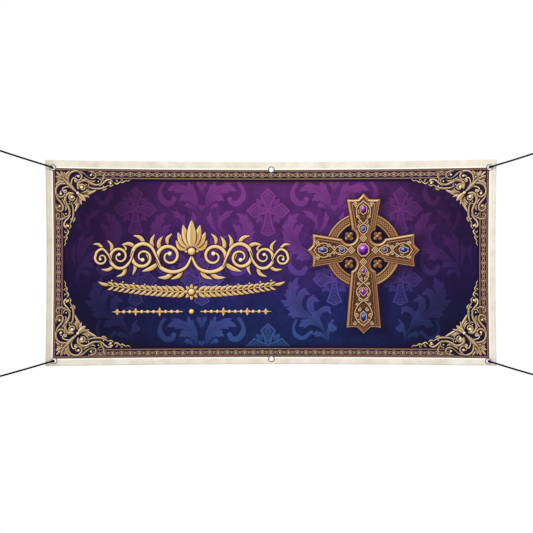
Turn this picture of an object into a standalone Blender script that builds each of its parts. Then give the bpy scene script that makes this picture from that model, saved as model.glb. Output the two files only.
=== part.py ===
"""A printed vinyl church banner, stretched by a rope at each corner.

The cloth hangs in the XZ plane and its print faces -Y. The origin is the middle
of its top edge. Lengths are in metres.

A place on the cloth is given as (u, v) on the flat cut: u from its middle, to
the right as the print is read, and v up from its top edge, so v is negative.
hang() turns such a place into one on the hung cloth.
"""

import math

import bmesh
import bpy
from mathutils import Vector

# The cut, and how the ropes pull it out of shape.
CUT_WIDTH = 1.835
CUT_HEIGHT = 0.836
CORNER_LIFT = 0.0106
SIDE_RISE = 0.0010
FOOT_HEIGHT = 0.8199
FOOT_DROP = 0.0074
SIDE_DRAW = 0.0055

# The vinyl, and the hem welded behind all four edges.
CLOTH_THICKNESS = 0.0010
HEM_THICKNESS = 0.0018
HEM_WIDTH = 0.048
WELD_SLOPE = 0.0015
GAP = 0.0003

# Eyelets: where each one's centre lies on the flat cut.
EYELETS = [
    # name, u, v
    ("top_left", -0.8878, -0.0301),
    ("top_mid", 0.0016, -0.0302),
    ("top_right", 0.8895, -0.0312),
    ("bottom_left", -0.8825, -0.8148),
    ("bottom_mid", 0.0016, -0.8149),
    ("bottom_right", 0.8836, -0.8185),
]
EYELET_BORE = 0.0065
EYELET_BARREL = 0.0073
EYELET_FLANGE = 0.0130
EYELET_WASHER = 0.0125
EYELET_CREST = 0.0020
EYELET_RIM = 0.0010
WASHER_THICKNESS = 0.0008
EYELET_STEPS = 16
EYELET_HOLE = 0.0078

# The cloth lies flat this far round an eyelet, and is free beyond the second radius.
FLAT_RADIUS = 0.042
FREE_RADIUS = 0.130

# The cloth's belly, and the soft folds that run in from the corner eyelets.
BELLY = 0.010
FOLDS = [
    # eyelet, bearing in degrees, length, depth, half width
    ("top_left", -11.0, 0.66, 0.0034, 0.052),
    ("top_left", -40.0, 0.52, -0.0030, 0.060),
    ("top_right", -168.0, 0.62, 0.0030, 0.055),
    ("top_right", -138.0, 0.50, -0.0032, 0.058),
    ("bottom_left", 14.0, 0.58, 0.0030, 0.055),
    ("bottom_left", 46.0, 0.44, -0.0026, 0.058),
    ("bottom_right", 167.0, 0.60, 0.0032, 0.052),
    ("bottom_right", 131.0, 0.46, -0.0024, 0.060),
]

# Slack between the eyelets shows as soft troughs that run in from an edge.
TROUGHS = [
    # u, v at the edge, depth, half width, reach into the cloth
    (-0.46, 0.0, 0.0026, 0.085, 0.24),
    (-0.20, 0.0, -0.0020, 0.070, 0.18),
    (0.24, 0.0, -0.0018, 0.075, 0.20),
    (0.50, 0.0, 0.0028, 0.085, 0.26),
    (-0.42, -CUT_HEIGHT, 0.0022, 0.090, 0.20),
    (0.36, -CUT_HEIGHT, 0.0024, 0.080, 0.22),
]

# Ropes: each leaves its eyelet on this bearing, towards its end knot.
ROPE_DIAMETER = 0.0070
ROPES = [
    # eyelet, bearing in degrees, distance to the end knot
    ("top_left", 162.25, 0.254),
    ("top_right", 17.55, 0.213),
    ("bottom_left", -164.11, 0.257),
    ("bottom_right", -16.45, 0.218),
]

# The route of a rope, out of the bore and over the rim, then a share of the way
# from there to the end knot.
ROUTE_OUT = [
    # along the pull, depth in Y
    (0.0026, 0.0034),
    (0.0026, 0.0002),
    (0.0031, -0.0036),
    (0.0045, -0.0070),
    (0.0067, -0.0099),
    (0.0096, -0.0121),
    (0.0130, -0.0135),
    (0.0166, -0.0140),
    (0.0240, -0.0139),
    (0.0340, -0.0136),
]
ROUTE_RUN = [
    # share of the way, depth in Y, sag
    (0.25, -0.0127, 0.0006),
    (0.50, -0.0115, 0.0008),
    (0.75, -0.0103, 0.0006),
    (1.00, -0.0090, 0.0),
]
ROUTE_STEP = 2.5 * ROPE_DIAMETER

# Knots are closed lumps; the half sizes run along the pull, in Y, and across.
STOPPER_PLACE = (0.0086, 0.0112)
STOPPER_HALF = (0.0095, 0.0072, 0.0095)
END_KNOT_HALF = (0.0115, 0.0085, 0.0095)
KNOT_SEGMENTS = 12
KNOT_RINGS = 7
KNOT_LOBES = 3
KNOT_LOBE_DEPTH = 0.07

# Half of the loop past an end knot, from the knot's centre to the loop's tip.
LOOP_HALF = [
    # along the pull, across
    (0.0120, 0.0042),
    (0.0205, 0.0072),
    (0.0300, 0.0115),
    (0.0400, 0.0148),
    (0.0490, 0.0158),
    (0.0570, 0.0128),
    (0.0622, 0.0070),
]
LOOP_TIP = (0.0640, 0.0)

PANEL_COLUMNS = 38
PANEL_ROWS = 15
STRIP_COLUMNS = 9
EYELET_CELL = 0.019

COLOURS = {
    # name: red, green, blue, roughness, metallic
    "printed_vinyl": (0.080, 0.025, 0.130, 0.42, 0.0),
    "hem_vinyl": (0.780, 0.720, 0.610, 0.45, 0.0),
    "nickel_eyelet": (0.720, 0.720, 0.730, 0.25, 1.0),
    "black_rope": (0.012, 0.012, 0.013, 0.70, 0.0),
}


def clear_scene():
    for obj in list(bpy.data.objects):
        bpy.data.objects.remove(obj, do_unlink=True)


def smooth(share):
    share = min(1.0, max(0.0, share))
    return share * share * (3.0 - 2.0 * share)


def spread(first, last, count):
    """count + 1 values from first to last, evenly apart."""
    return [first + (last - first) * step / count for step in range(count + 1)]


def eyelet_place(name):
    """Where an eyelet's centre lies on the flat cut."""
    return next((u, v) for row, u, v in EYELETS if row == name)


def fold_depth(u, v):
    """What the folds that run in from the corner eyelets add to the depth."""
    depth = 0.0
    for name, bearing, length, fold, half_width in FOLDS:
        centre_u, centre_v = eyelet_place(name)
        cosine, sine = math.cos(math.radians(bearing)), math.sin(math.radians(bearing))
        along = (u - centre_u) * cosine + (v - centre_v) * sine
        aside = (v - centre_v) * cosine - (u - centre_u) * sine
        if 0.0 < along < length:
            swell = math.sin(math.pi * (along / length) ** 0.7)
            depth += fold * swell * math.exp(-((aside / half_width) ** 2))
    return depth


def trough_depth(u, v):
    """What the slack troughs at the top and bottom edges add to the depth."""
    depth = 0.0
    for centre, edge, trough, half_width, reach in TROUGHS:
        fade = 1.0 - smooth(abs(v - edge) / reach)
        depth += trough * fade * math.exp(-(((u - centre) / half_width) ** 2))
    return depth


def freedom(u, v):
    """0 where an eyelet holds the cloth flat, rising to 1 away from all of them."""
    free = 1.0
    for _, centre_u, centre_v in EYELETS:
        apart = math.hypot(u - centre_u, v - centre_v)
        free *= smooth((apart - FLAT_RADIUS) / (FREE_RADIUS - FLAT_RADIUS))
    return free


def relief(u, v):
    """The Y of the printed face; the eyelets hold it at 0."""
    across = 2.0 * u / CUT_WIDTH
    down = -v / CUT_HEIGHT
    belly = -BELLY * (1.0 - across * across) * math.sin(math.pi * down)
    return freedom(u, v) * (belly + fold_depth(u, v) + trough_depth(u, v))


def hang(u, v):
    """The place on the hung cloth's printed face of a place on the flat cut."""
    across = 2.0 * u / CUT_WIDTH
    down = -v / CUT_HEIGHT
    top = CORNER_LIFT * across * across + SIDE_RISE * across
    foot = -FOOT_HEIGHT - FOOT_DROP * across * across + SIDE_RISE * across
    drawn = 1.0 - 2.0 * SIDE_DRAW / CUT_WIDTH * 4.0 * down * (1.0 - down)
    return Vector((u * drawn, relief(u, v), top + (foot - top) * down))


def material(name):
    red, green, blue, roughness, metallic = COLOURS[name]
    made = bpy.data.materials.new(name)
    made.use_nodes = True
    shader = made.node_tree.nodes["Principled BSDF"]
    shader.inputs["Base Color"].default_value = (red, green, blue, 1.0)
    shader.inputs["Roughness"].default_value = roughness
    shader.inputs["Metallic"].default_value = metallic
    return made


def add_object(name, data, collection, finish=None):
    if finish and not data.materials:
        data.materials.append(finish)
    obj = bpy.data.objects.new(name, data)
    collection.objects.link(obj)
    return obj


def cloth_sheet(name, columns, rows, thickness_at, collection, finish):
    """A sheet of hung cloth through these u and v values.

    thickness_at(u) is its share of the hem's thickness, which lies behind the print.
    """
    mesh = bpy.data.meshes.new(name)
    grid = bmesh.new()
    bmesh.ops.create_grid(
        grid, x_segments=len(columns) - 1, y_segments=len(rows) - 1, size=1.0
    )
    thickness = grid.verts.layers.deform.verify()
    for point in grid.verts:
        column = round((point.co.x + 1.0) / 2.0 * (len(columns) - 1))
        row = round((point.co.y + 1.0) / 2.0 * (len(rows) - 1))
        point.co = hang(columns[column], rows[row])
        point[thickness][0] = thickness_at(columns[column])
    grid.normal_update()
    if sum(face.normal.y for face in grid.faces) > 0.0:
        bmesh.ops.reverse_faces(grid, faces=grid.faces)
    grid.to_mesh(mesh)
    grid.free()
    mesh.shade_smooth()
    sheet = add_object(name, mesh, collection, finish)
    sheet.vertex_groups.new(name="thickness")
    solidify = sheet.modifiers.new("thickness", "SOLIDIFY")
    solidify.thickness = HEM_THICKNESS
    solidify.offset = -1.0
    solidify.vertex_group = "thickness"
    return sheet


def make_panel(collection, finish):
    """The printed field between the two strips, with its side hems."""
    side = CUT_WIDTH / 2.0
    hem_edge = side - HEM_WIDTH
    columns = [
        -side,
        -hem_edge - WELD_SLOPE,
        *spread(-hem_edge, hem_edge, PANEL_COLUMNS),
        hem_edge + WELD_SLOPE,
        side,
    ]
    rows = spread(-CUT_HEIGHT + HEM_WIDTH + GAP, -HEM_WIDTH - GAP, PANEL_ROWS)

    def thickness_at(u):
        return 1.0 if abs(u) > hem_edge + WELD_SLOPE / 2.0 else CLOTH_THICKNESS / HEM_THICKNESS

    cloth_sheet("banner_panel", columns, rows, thickness_at, collection, finish)


def strip_columns(prefix):
    """Columns of a strip: a pair round each eyelet, and even ones between."""
    columns = []
    last = -CUT_WIDTH / 2.0
    for name, u, _ in EYELETS:
        if name.startswith(prefix):
            reach = u - EYELET_CELL
            count = STRIP_COLUMNS if reach - last > HEM_WIDTH else 1
            columns += spread(last, reach, count)
            last = u + EYELET_CELL
    return columns + [last, CUT_WIDTH / 2.0]


def hole_cutter(name, place, collection):
    """A round cutter through the cloth at an eyelet."""
    mesh = bpy.data.meshes.new(name)
    shape = bmesh.new()
    bmesh.ops.create_cone(
        shape,
        cap_ends=True,
        segments=EYELET_STEPS,
        radius1=EYELET_HOLE,
        radius2=EYELET_HOLE,
        depth=10.0 * HEM_THICKNESS,
    )
    shape.to_mesh(mesh)
    shape.free()
    cutter = add_object(name, mesh, collection)
    cutter.location = place
    cutter.rotation_euler = (math.radians(90.0), 0.0, 0.0)
    cutter.hide_render = True
    cutter.display_type = "WIRE"
    return cutter


def make_strip(prefix, upper, lower, collection, cutters, finish):
    """A hem strip across the banner, with a hole for each of its eyelets."""
    strip = cloth_sheet(
        prefix + "_strip", strip_columns(prefix), [lower, upper], lambda u: 1.0, collection, finish
    )
    for name, u, v in EYELETS:
        if name.startswith(prefix):
            cut = strip.modifiers.new(name, "BOOLEAN")
            cut.operation = "DIFFERENCE"
            cut.solver = "EXACT"
            cut.object = hole_cutter("hole_" + name, hang(u, v), cutters)


def eyelet_mesh(finish):
    """A closed profile in XZ, whose +Z end faces the viewer once it is turned."""
    back = -HEM_THICKNESS - GAP
    profile = [
        (EYELET_BORE + 0.0024, EYELET_CREST),
        (EYELET_FLANGE - 0.0016, EYELET_CREST - 0.0003),
        (EYELET_FLANGE, EYELET_RIM),
        (EYELET_FLANGE, GAP),
        (EYELET_BARREL, GAP),
        (EYELET_BARREL, back),
        (EYELET_WASHER, back),
        (EYELET_WASHER, back - WASHER_THICKNESS),
        (EYELET_BORE, back - WASHER_THICKNESS),
        (EYELET_BORE, EYELET_RIM),
    ]
    mesh = bpy.data.meshes.new("eyelet")
    count = len(profile)
    edges = [(index, (index + 1) % count) for index in range(count)]
    mesh.from_pydata([(radius, 0.0, height) for radius, height in profile], edges, [])
    mesh.materials.append(finish)
    return mesh


def make_eyelets(collection, finish):
    mesh = eyelet_mesh(finish)
    for name, u, v in EYELETS:
        eyelet = add_object("eyelet_" + name, mesh, collection)
        eyelet.location = hang(u, v)
        eyelet.rotation_euler = (math.radians(90.0), 0.0, 0.0)
        turn = eyelet.modifiers.new("turn", "SCREW")
        turn.axis = "Z"
        turn.steps = EYELET_STEPS
        turn.render_steps = EYELET_STEPS
        turn.merge_threshold = 0.00001
        turn.use_smooth_shade = True


def smooth_route(points, step):
    """Points on a smooth curve through these points, about a step apart."""
    route = []
    last = len(points) - 1
    for index in range(last):
        before = points[max(index - 1, 0)]
        start, end = points[index], points[index + 1]
        after = points[min(index + 2, last)]
        count = max(1, round((end - start).length / step))
        for part in range(count):
            t = part / count
            lead, trail = end - before, after - start
            route.append(
                start
                + t * 0.5 * lead
                + t * t * (3.0 * (end - start) - lead - 0.5 * trail)
                + t * t * t * (2.0 * (start - end) + 0.5 * lead + 0.5 * trail)
            )
    return route + [points[last]]


def pull_frame(name, bearing):
    """An eyelet's centre, and the directions along and across its rope's pull."""
    angle = math.radians(bearing)
    along = Vector((math.cos(angle), 0.0, math.sin(angle)))
    across = Vector((-math.sin(angle), 0.0, math.cos(angle)))
    return hang(*eyelet_place(name)), along, across


def tube(name, points, collection, finish):
    curve = bpy.data.curves.new(name, "CURVE")
    curve.dimensions = "3D"
    curve.bevel_depth = ROPE_DIAMETER / 2.0
    curve.bevel_resolution = 2
    curve.use_fill_caps = True
    spline = curve.splines.new("POLY")
    spline.points.add(len(points) - 1)
    for target, point in zip(spline.points, points):
        target.co = (*point, 1.0)
    return add_object(name, curve, collection, finish)


def rope_points(name, bearing, distance):
    """A rope's route, from its stopper knot to its end knot."""
    centre, along, _ = pull_frame(name, bearing)
    points = [centre + along * out + Vector((0.0, depth, 0.0)) for out, depth in ROUTE_OUT]
    start = ROUTE_OUT[-1][0]
    finish = distance - END_KNOT_HALF[0] - GAP
    for share, depth, sag in ROUTE_RUN:
        out = start + (finish - start) * share
        points.append(centre + along * out + Vector((0.0, depth, -sag)))
    return smooth_route(points, ROUTE_STEP)


def make_knot(name, place, along, across, half, collection, finish):
    """A lobed lump, the outer shape of a pulled knot."""
    mesh = bpy.data.meshes.new(name)
    shape = bmesh.new()
    bmesh.ops.create_uvsphere(
        shape, u_segments=KNOT_SEGMENTS, v_segments=KNOT_RINGS, radius=1.0
    )
    for point in shape.verts:
        turn = math.atan2(point.co.y, point.co.x)
        lobe = math.cos(KNOT_LOBES * turn + 2.0 * point.co.z)
        swell = 1.0 + KNOT_LOBE_DEPTH * lobe * (1.0 - point.co.z**2)
        side, depth, run = point.co.x * swell, point.co.y * swell, point.co.z
        point.co = place + along * run * half[0] + across * side * half[2]
        point.co.y += depth * half[1]
    bmesh.ops.recalc_face_normals(shape, faces=shape.faces)
    shape.to_mesh(mesh)
    shape.free()
    mesh.shade_smooth()
    add_object(name, mesh, collection, finish)


def make_ropes(collection, finish):
    for name, bearing, distance in ROPES:
        centre, along, across = pull_frame(name, bearing)
        tube("rope_" + name, rope_points(name, bearing, distance), collection, finish)
        behind = Vector((0.0, STOPPER_PLACE[1], 0.0))
        stopper = centre + along * STOPPER_PLACE[0] + behind
        make_knot("stopper_" + name, stopper, along, across, STOPPER_HALF, collection, finish)
        end = centre + along * distance + Vector((0.0, ROUTE_RUN[-1][1], 0.0))
        make_knot("knot_" + name, end, along, across, END_KNOT_HALF, collection, finish)
        out = [end + along * run + across * side for run, side in LOOP_HALF]
        back = [end + along * run - across * side for run, side in reversed(LOOP_HALF)]
        loop = out + [end + along * LOOP_TIP[0]] + back
        tube("loop_" + name, loop, collection, finish)


def main():
    clear_scene()
    parts = bpy.data.collections.new("church_banner")
    cutters = bpy.data.collections.new("cutters")
    for collection in (parts, cutters):
        bpy.context.scene.collection.children.link(collection)
    hem = material("hem_vinyl")
    rope = material("black_rope")
    make_panel(parts, material("printed_vinyl"))
    make_strip("top", 0.0, -HEM_WIDTH, parts, cutters, hem)
    make_strip("bottom", -CUT_HEIGHT + HEM_WIDTH, -CUT_HEIGHT, parts, cutters, hem)
    make_eyelets(parts, material("nickel_eyelet"))
    make_ropes(parts, rope)


main()
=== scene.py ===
"""The looks of a printed vinyl church banner, stretched by a rope at each corner.

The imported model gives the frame. One dense sheet takes the place of the cloth's
solids, and its print is thin ink on it: a place in the print is (u, v) on the
flat cut, and hang() puts it on the hung cloth. Lengths are in metres, and the
print's ornament is laid out in modules of MODULE.
"""

import math
import random

import bpy
import numpy as np
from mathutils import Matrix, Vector


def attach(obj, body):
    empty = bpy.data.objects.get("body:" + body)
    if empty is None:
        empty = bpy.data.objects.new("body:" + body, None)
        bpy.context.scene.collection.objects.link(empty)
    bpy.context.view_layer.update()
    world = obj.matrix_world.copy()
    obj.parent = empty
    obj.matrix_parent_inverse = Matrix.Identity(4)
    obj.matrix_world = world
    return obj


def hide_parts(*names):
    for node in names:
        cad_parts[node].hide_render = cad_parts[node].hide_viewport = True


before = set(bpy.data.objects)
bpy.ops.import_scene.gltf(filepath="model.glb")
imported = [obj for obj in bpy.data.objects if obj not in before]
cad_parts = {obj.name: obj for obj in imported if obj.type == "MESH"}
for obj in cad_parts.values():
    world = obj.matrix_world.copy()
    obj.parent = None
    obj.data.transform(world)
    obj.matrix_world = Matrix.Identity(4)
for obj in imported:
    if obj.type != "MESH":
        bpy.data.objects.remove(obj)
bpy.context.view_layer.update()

# The cloth, as part.py hangs it.
CUT_WIDTH = 1.835
CUT_HEIGHT = 0.836
CORNER_LIFT = 0.0106
SIDE_RISE = 0.0010
FOOT_HEIGHT = 0.8199
FOOT_DROP = 0.0074
SIDE_DRAW = 0.0055
HEM_THICKNESS = 0.0018
HEM_WIDTH = 0.048
FLAT_RADIUS = 0.042
FREE_RADIUS = 0.130
BELLY = 0.010
EYELETS = [
    # name, u, v
    ("top_left", -0.8878, -0.0301),
    ("top_mid", 0.0016, -0.0302),
    ("top_right", 0.8895, -0.0312),
    ("bottom_left", -0.8825, -0.8148),
    ("bottom_mid", 0.0016, -0.8149),
    ("bottom_right", 0.8836, -0.8185),
]
FOLDS = [
    # eyelet, bearing in degrees, length, depth, half width
    ("top_left", -11.0, 0.66, 0.0034, 0.052),
    ("top_left", -40.0, 0.52, -0.0030, 0.060),
    ("top_right", -168.0, 0.62, 0.0030, 0.055),
    ("top_right", -138.0, 0.50, -0.0032, 0.058),
    ("bottom_left", 14.0, 0.58, 0.0030, 0.055),
    ("bottom_left", 46.0, 0.44, -0.0026, 0.058),
    ("bottom_right", 167.0, 0.60, 0.0032, 0.052),
    ("bottom_right", 131.0, 0.46, -0.0024, 0.060),
]
TROUGHS = [
    # u, v at the edge, depth, half width, reach into the cloth
    (-0.46, 0.0, 0.0026, 0.085, 0.24),
    (-0.20, 0.0, -0.0020, 0.070, 0.18),
    (0.24, 0.0, -0.0018, 0.075, 0.20),
    (0.50, 0.0, 0.0028, 0.085, 0.26),
    (-0.42, -CUT_HEIGHT, 0.0022, 0.090, 0.20),
    (0.36, -CUT_HEIGHT, 0.0024, 0.080, 0.22),
]

# The ropes, as part.py routes them.
ROPE_DIAMETER = 0.0070
ROPES = [
    # eyelet, bearing in degrees, distance to the end knot
    ("top_left", 162.25, 0.254),
    ("top_right", 17.55, 0.213),
    ("bottom_left", -164.11, 0.257),
    ("bottom_right", -16.45, 0.218),
]
ROUTE_OUT = [
    # along the pull, depth in Y
    (0.0026, 0.0034),
    (0.0026, 0.0002),
    (0.0031, -0.0036),
    (0.0045, -0.0070),
    (0.0067, -0.0099),
    (0.0096, -0.0121),
    (0.0130, -0.0135),
    (0.0166, -0.0140),
    (0.0240, -0.0139),
    (0.0340, -0.0136),
]
ROUTE_RUN = [
    # share of the way, depth in Y, sag
    (0.25, -0.0127, 0.0006),
    (0.50, -0.0115, 0.0008),
    (0.75, -0.0103, 0.0006),
    (1.00, -0.0090, 0.0),
]
STOPPER_PLACE = (0.0086, 0.0112)
STOPPER_HALF = (0.0095, 0.0072, 0.0095)
END_KNOT_HALF = (0.0115, 0.0085, 0.0095)
GAP = 0.0003
LOOP_HALF = [
    # along the pull, across
    (0.0120, 0.0042),
    (0.0205, 0.0072),
    (0.0300, 0.0115),
    (0.0400, 0.0148),
    (0.0490, 0.0158),
    (0.0570, 0.0128),
    (0.0622, 0.0070),
]
LOOP_TIP = (0.0640, 0.0)

# The photograph's view of the banner's plane.
VIEW_WIDTH = 2.168
VIEW_CENTRE = (-0.0183, -0.4234)
CAMERA_DISTANCE = 6.5
SENSOR_WIDTH = 36.0

# The print. Its frame is a rectangle on the flat cut.
MODULE = 0.004067
FRAME_LEFT, FRAME_RIGHT = -0.888, 0.8880
FRAME_TOP, FRAME_BOTTOM = -0.0326, -0.8056
CROSS_CENTRE = (0.3774, -0.3646)
ORNAMENT_CENTRE = (-0.3244, -0.4268)
PAINTED_LIGHT = np.array((-0.55, 0.83))

# How bright a white sheet looks where the banner hangs.
LIGHT_LEVEL = 1.16

# Heights of the ink above the cloth.
INK_LIFT = 0.00005
LAYER = 0.00002

# No ink lies nearer an eyelet's centre than this.
INK_CLEAR = 0.0100


def srgb(*colour):
    """Linear values of a colour as it looks in this light, given as 0 to 255."""
    shares = np.asarray(colour, float) / 255.0
    return np.where(shares <= 0.04045, shares / 12.92, ((shares + 0.055) / 1.055) ** 2.4) / LIGHT_LEVEL


def smooth(share):
    share = np.clip(share, 0.0, 1.0)
    return share * share * (3.0 - 2.0 * share)


# The cloth's shape.


def relief(u, v):
    """The Y of the printed face; the eyelets hold it at 0."""
    across = 2.0 * u / CUT_WIDTH
    depth = -BELLY * (1.0 - across**2) * np.sin(np.pi * -v / CUT_HEIGHT)
    places = {name: (centre_u, centre_v) for name, centre_u, centre_v in EYELETS}
    for name, bearing, length, fold, half_width in FOLDS:
        centre_u, centre_v = places[name]
        cosine, sine = math.cos(math.radians(bearing)), math.sin(math.radians(bearing))
        along = (u - centre_u) * cosine + (v - centre_v) * sine
        aside = (v - centre_v) * cosine - (u - centre_u) * sine
        share = np.clip(along / length, 0.0, 1.0)
        depth += fold * np.sin(np.pi * share**0.7) * np.exp(-((aside / half_width) ** 2))
    for centre, edge, trough, half_width, reach in TROUGHS:
        fade = 1.0 - smooth(np.abs(v - edge) / reach)
        depth += trough * fade * np.exp(-(((u - centre) / half_width) ** 2))
    for _, centre_u, centre_v in EYELETS:
        apart = np.hypot(u - centre_u, v - centre_v)
        depth *= smooth((apart - FLAT_RADIUS) / (FREE_RADIUS - FLAT_RADIUS))
    return depth


def hang(u, v, lift=0.0):
    """Places on the hung cloth of places on the flat cut, lifted off its face."""
    across = 2.0 * u / CUT_WIDTH
    down = -v / CUT_HEIGHT
    top = CORNER_LIFT * across**2 + SIDE_RISE * across
    foot = -FOOT_HEIGHT - FOOT_DROP * across**2 + SIDE_RISE * across
    drawn = 1.0 - 2.0 * SIDE_DRAW / CUT_WIDTH * 4.0 * down * (1.0 - down)
    return np.stack([u * drawn, relief(u, v) - lift, top + (foot - top) * down], axis=-1)


# Nodes.


class Tree:
    """Short calls for the nodes of one tree."""

    def __init__(self, tree):
        self.tree = tree

    def add(self, kind, inputs=(), **settings):
        node = self.tree.nodes.new(kind)
        for name, value in settings.items():
            setattr(node, name, value)
        for key, value in dict(inputs).items():
            self.feed(node.inputs[key], value)
        return node

    def feed(self, socket, value):
        if isinstance(value, bpy.types.NodeSocket):
            self.tree.links.new(value, socket)
        else:
            socket.default_value = value

    def math(self, operation, *values, clamp=False):
        inputs = dict(enumerate(values))
        return self.add("ShaderNodeMath", inputs, operation=operation, use_clamp=clamp).outputs[0]

    def blend(self, factor, first, second, kind="MIX"):
        node = self.add("ShaderNodeMix", data_type="RGBA", blend_type=kind)
        for index, value in ((0, factor), (6, first), (7, second)):
            self.feed(node.inputs[index], value)
        return node.outputs[2]

    def ramp(self, factor, stops, kind="LINEAR"):
        node = self.add("ShaderNodeValToRGB", {0: factor})
        node.color_ramp.interpolation = kind
        elements = node.color_ramp.elements
        while len(elements) < len(stops):
            elements.new(1.0)
        for element, (place, colour) in zip(elements, stops):
            element.position = place
            element.color = (*colour, 1.0)
        return node.outputs[0]

    def noise(self, vector, scale, detail=2.0, roughness=0.5):
        values = {"Vector": vector, "Scale": scale, "Detail": detail, "Roughness": roughness}
        return self.add("ShaderNodeTexNoise", values).outputs["Fac"]

    def step(self, value, low, high):
        """0 below low, 1 above high, and smooth between."""
        node = self.add(
            "ShaderNodeMapRange", {0: value, 1: low, 2: high}, interpolation_type="SMOOTHSTEP"
        )
        return node.outputs[0]

    def attribute(self, name, output="Vector"):
        return self.add("ShaderNodeAttribute", attribute_name=name).outputs[output]

    def split(self, vector):
        return self.add("ShaderNodeSeparateXYZ", {0: vector}).outputs[:2]

    def join(self, x, y):
        return self.add("ShaderNodeCombineXYZ", {0: x, 1: y}).outputs[0]


def new_group(name, inputs, outputs):
    group = bpy.data.node_groups.new(name, "ShaderNodeTree")
    for socket, kind in inputs:
        group.interface.new_socket(socket, in_out="INPUT", socket_type=kind)
    for socket, kind in outputs:
        group.interface.new_socket(socket, in_out="OUTPUT", socket_type=kind)
    tree = Tree(group)
    return group, tree, tree.add("NodeGroupInput").outputs, tree.add("NodeGroupOutput").inputs


def new_material(name):
    made = bpy.data.materials.new(name)
    made.use_nodes = True
    tree = Tree(made.node_tree)
    shader = made.node_tree.nodes["Principled BSDF"]
    return made, tree, shader


def use_group(tree, group, inputs=()):
    return tree.add("ShaderNodeGroup", inputs, node_tree=group).outputs


FLOAT, COLOUR, VECTOR = "NodeSocketFloat", "NodeSocketColor", "NodeSocketVector"


def make_field_group():
    """The dyed field: violet at the top to blue at the foot, a little uneven."""
    group, tree, _, out = new_group("print_field", [], [("Color", COLOUR)])
    cut = tree.attribute("cut")
    _, v = tree.split(cut)
    down = tree.math("DIVIDE", tree.math("SUBTRACT", FRAME_TOP, v), FRAME_TOP - FRAME_BOTTOM)
    cloud = tree.noise(cut, 5.0, 4.0, 0.6)
    down = tree.math("ADD", down, tree.math("MULTIPLY", tree.math("SUBTRACT", cloud, 0.5), 0.16))
    colour = tree.ramp(
        down,
        [
            (0.00, srgb(88, 38, 98)),
            (0.26, srgb(78, 36, 100)),
            (0.48, srgb(60, 33, 96)),
            (0.72, srgb(27, 33, 86)),
            (1.00, srgb(17, 34, 75)),
        ],
    )
    patch = tree.step(tree.noise(cut, 15.0, 6.0, 0.68), 0.36, 0.66)
    dim = tree.blend(1.0, colour, (0.52, 0.50, 0.58, 1.0), "MULTIPLY")
    colour = tree.blend(tree.math("MULTIPLY", patch, 0.66), colour, dim)
    speck = tree.step(tree.noise(cut, 62.0, 5.0, 0.7), 0.40, 0.64)
    glow = tree.blend(1.0, colour, (1.42, 1.34, 1.30, 1.0), "MULTIPLY")
    tree.feed(out[0], tree.blend(tree.math("MULTIPLY", speck, 0.55), colour, glow))
    return group


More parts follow.
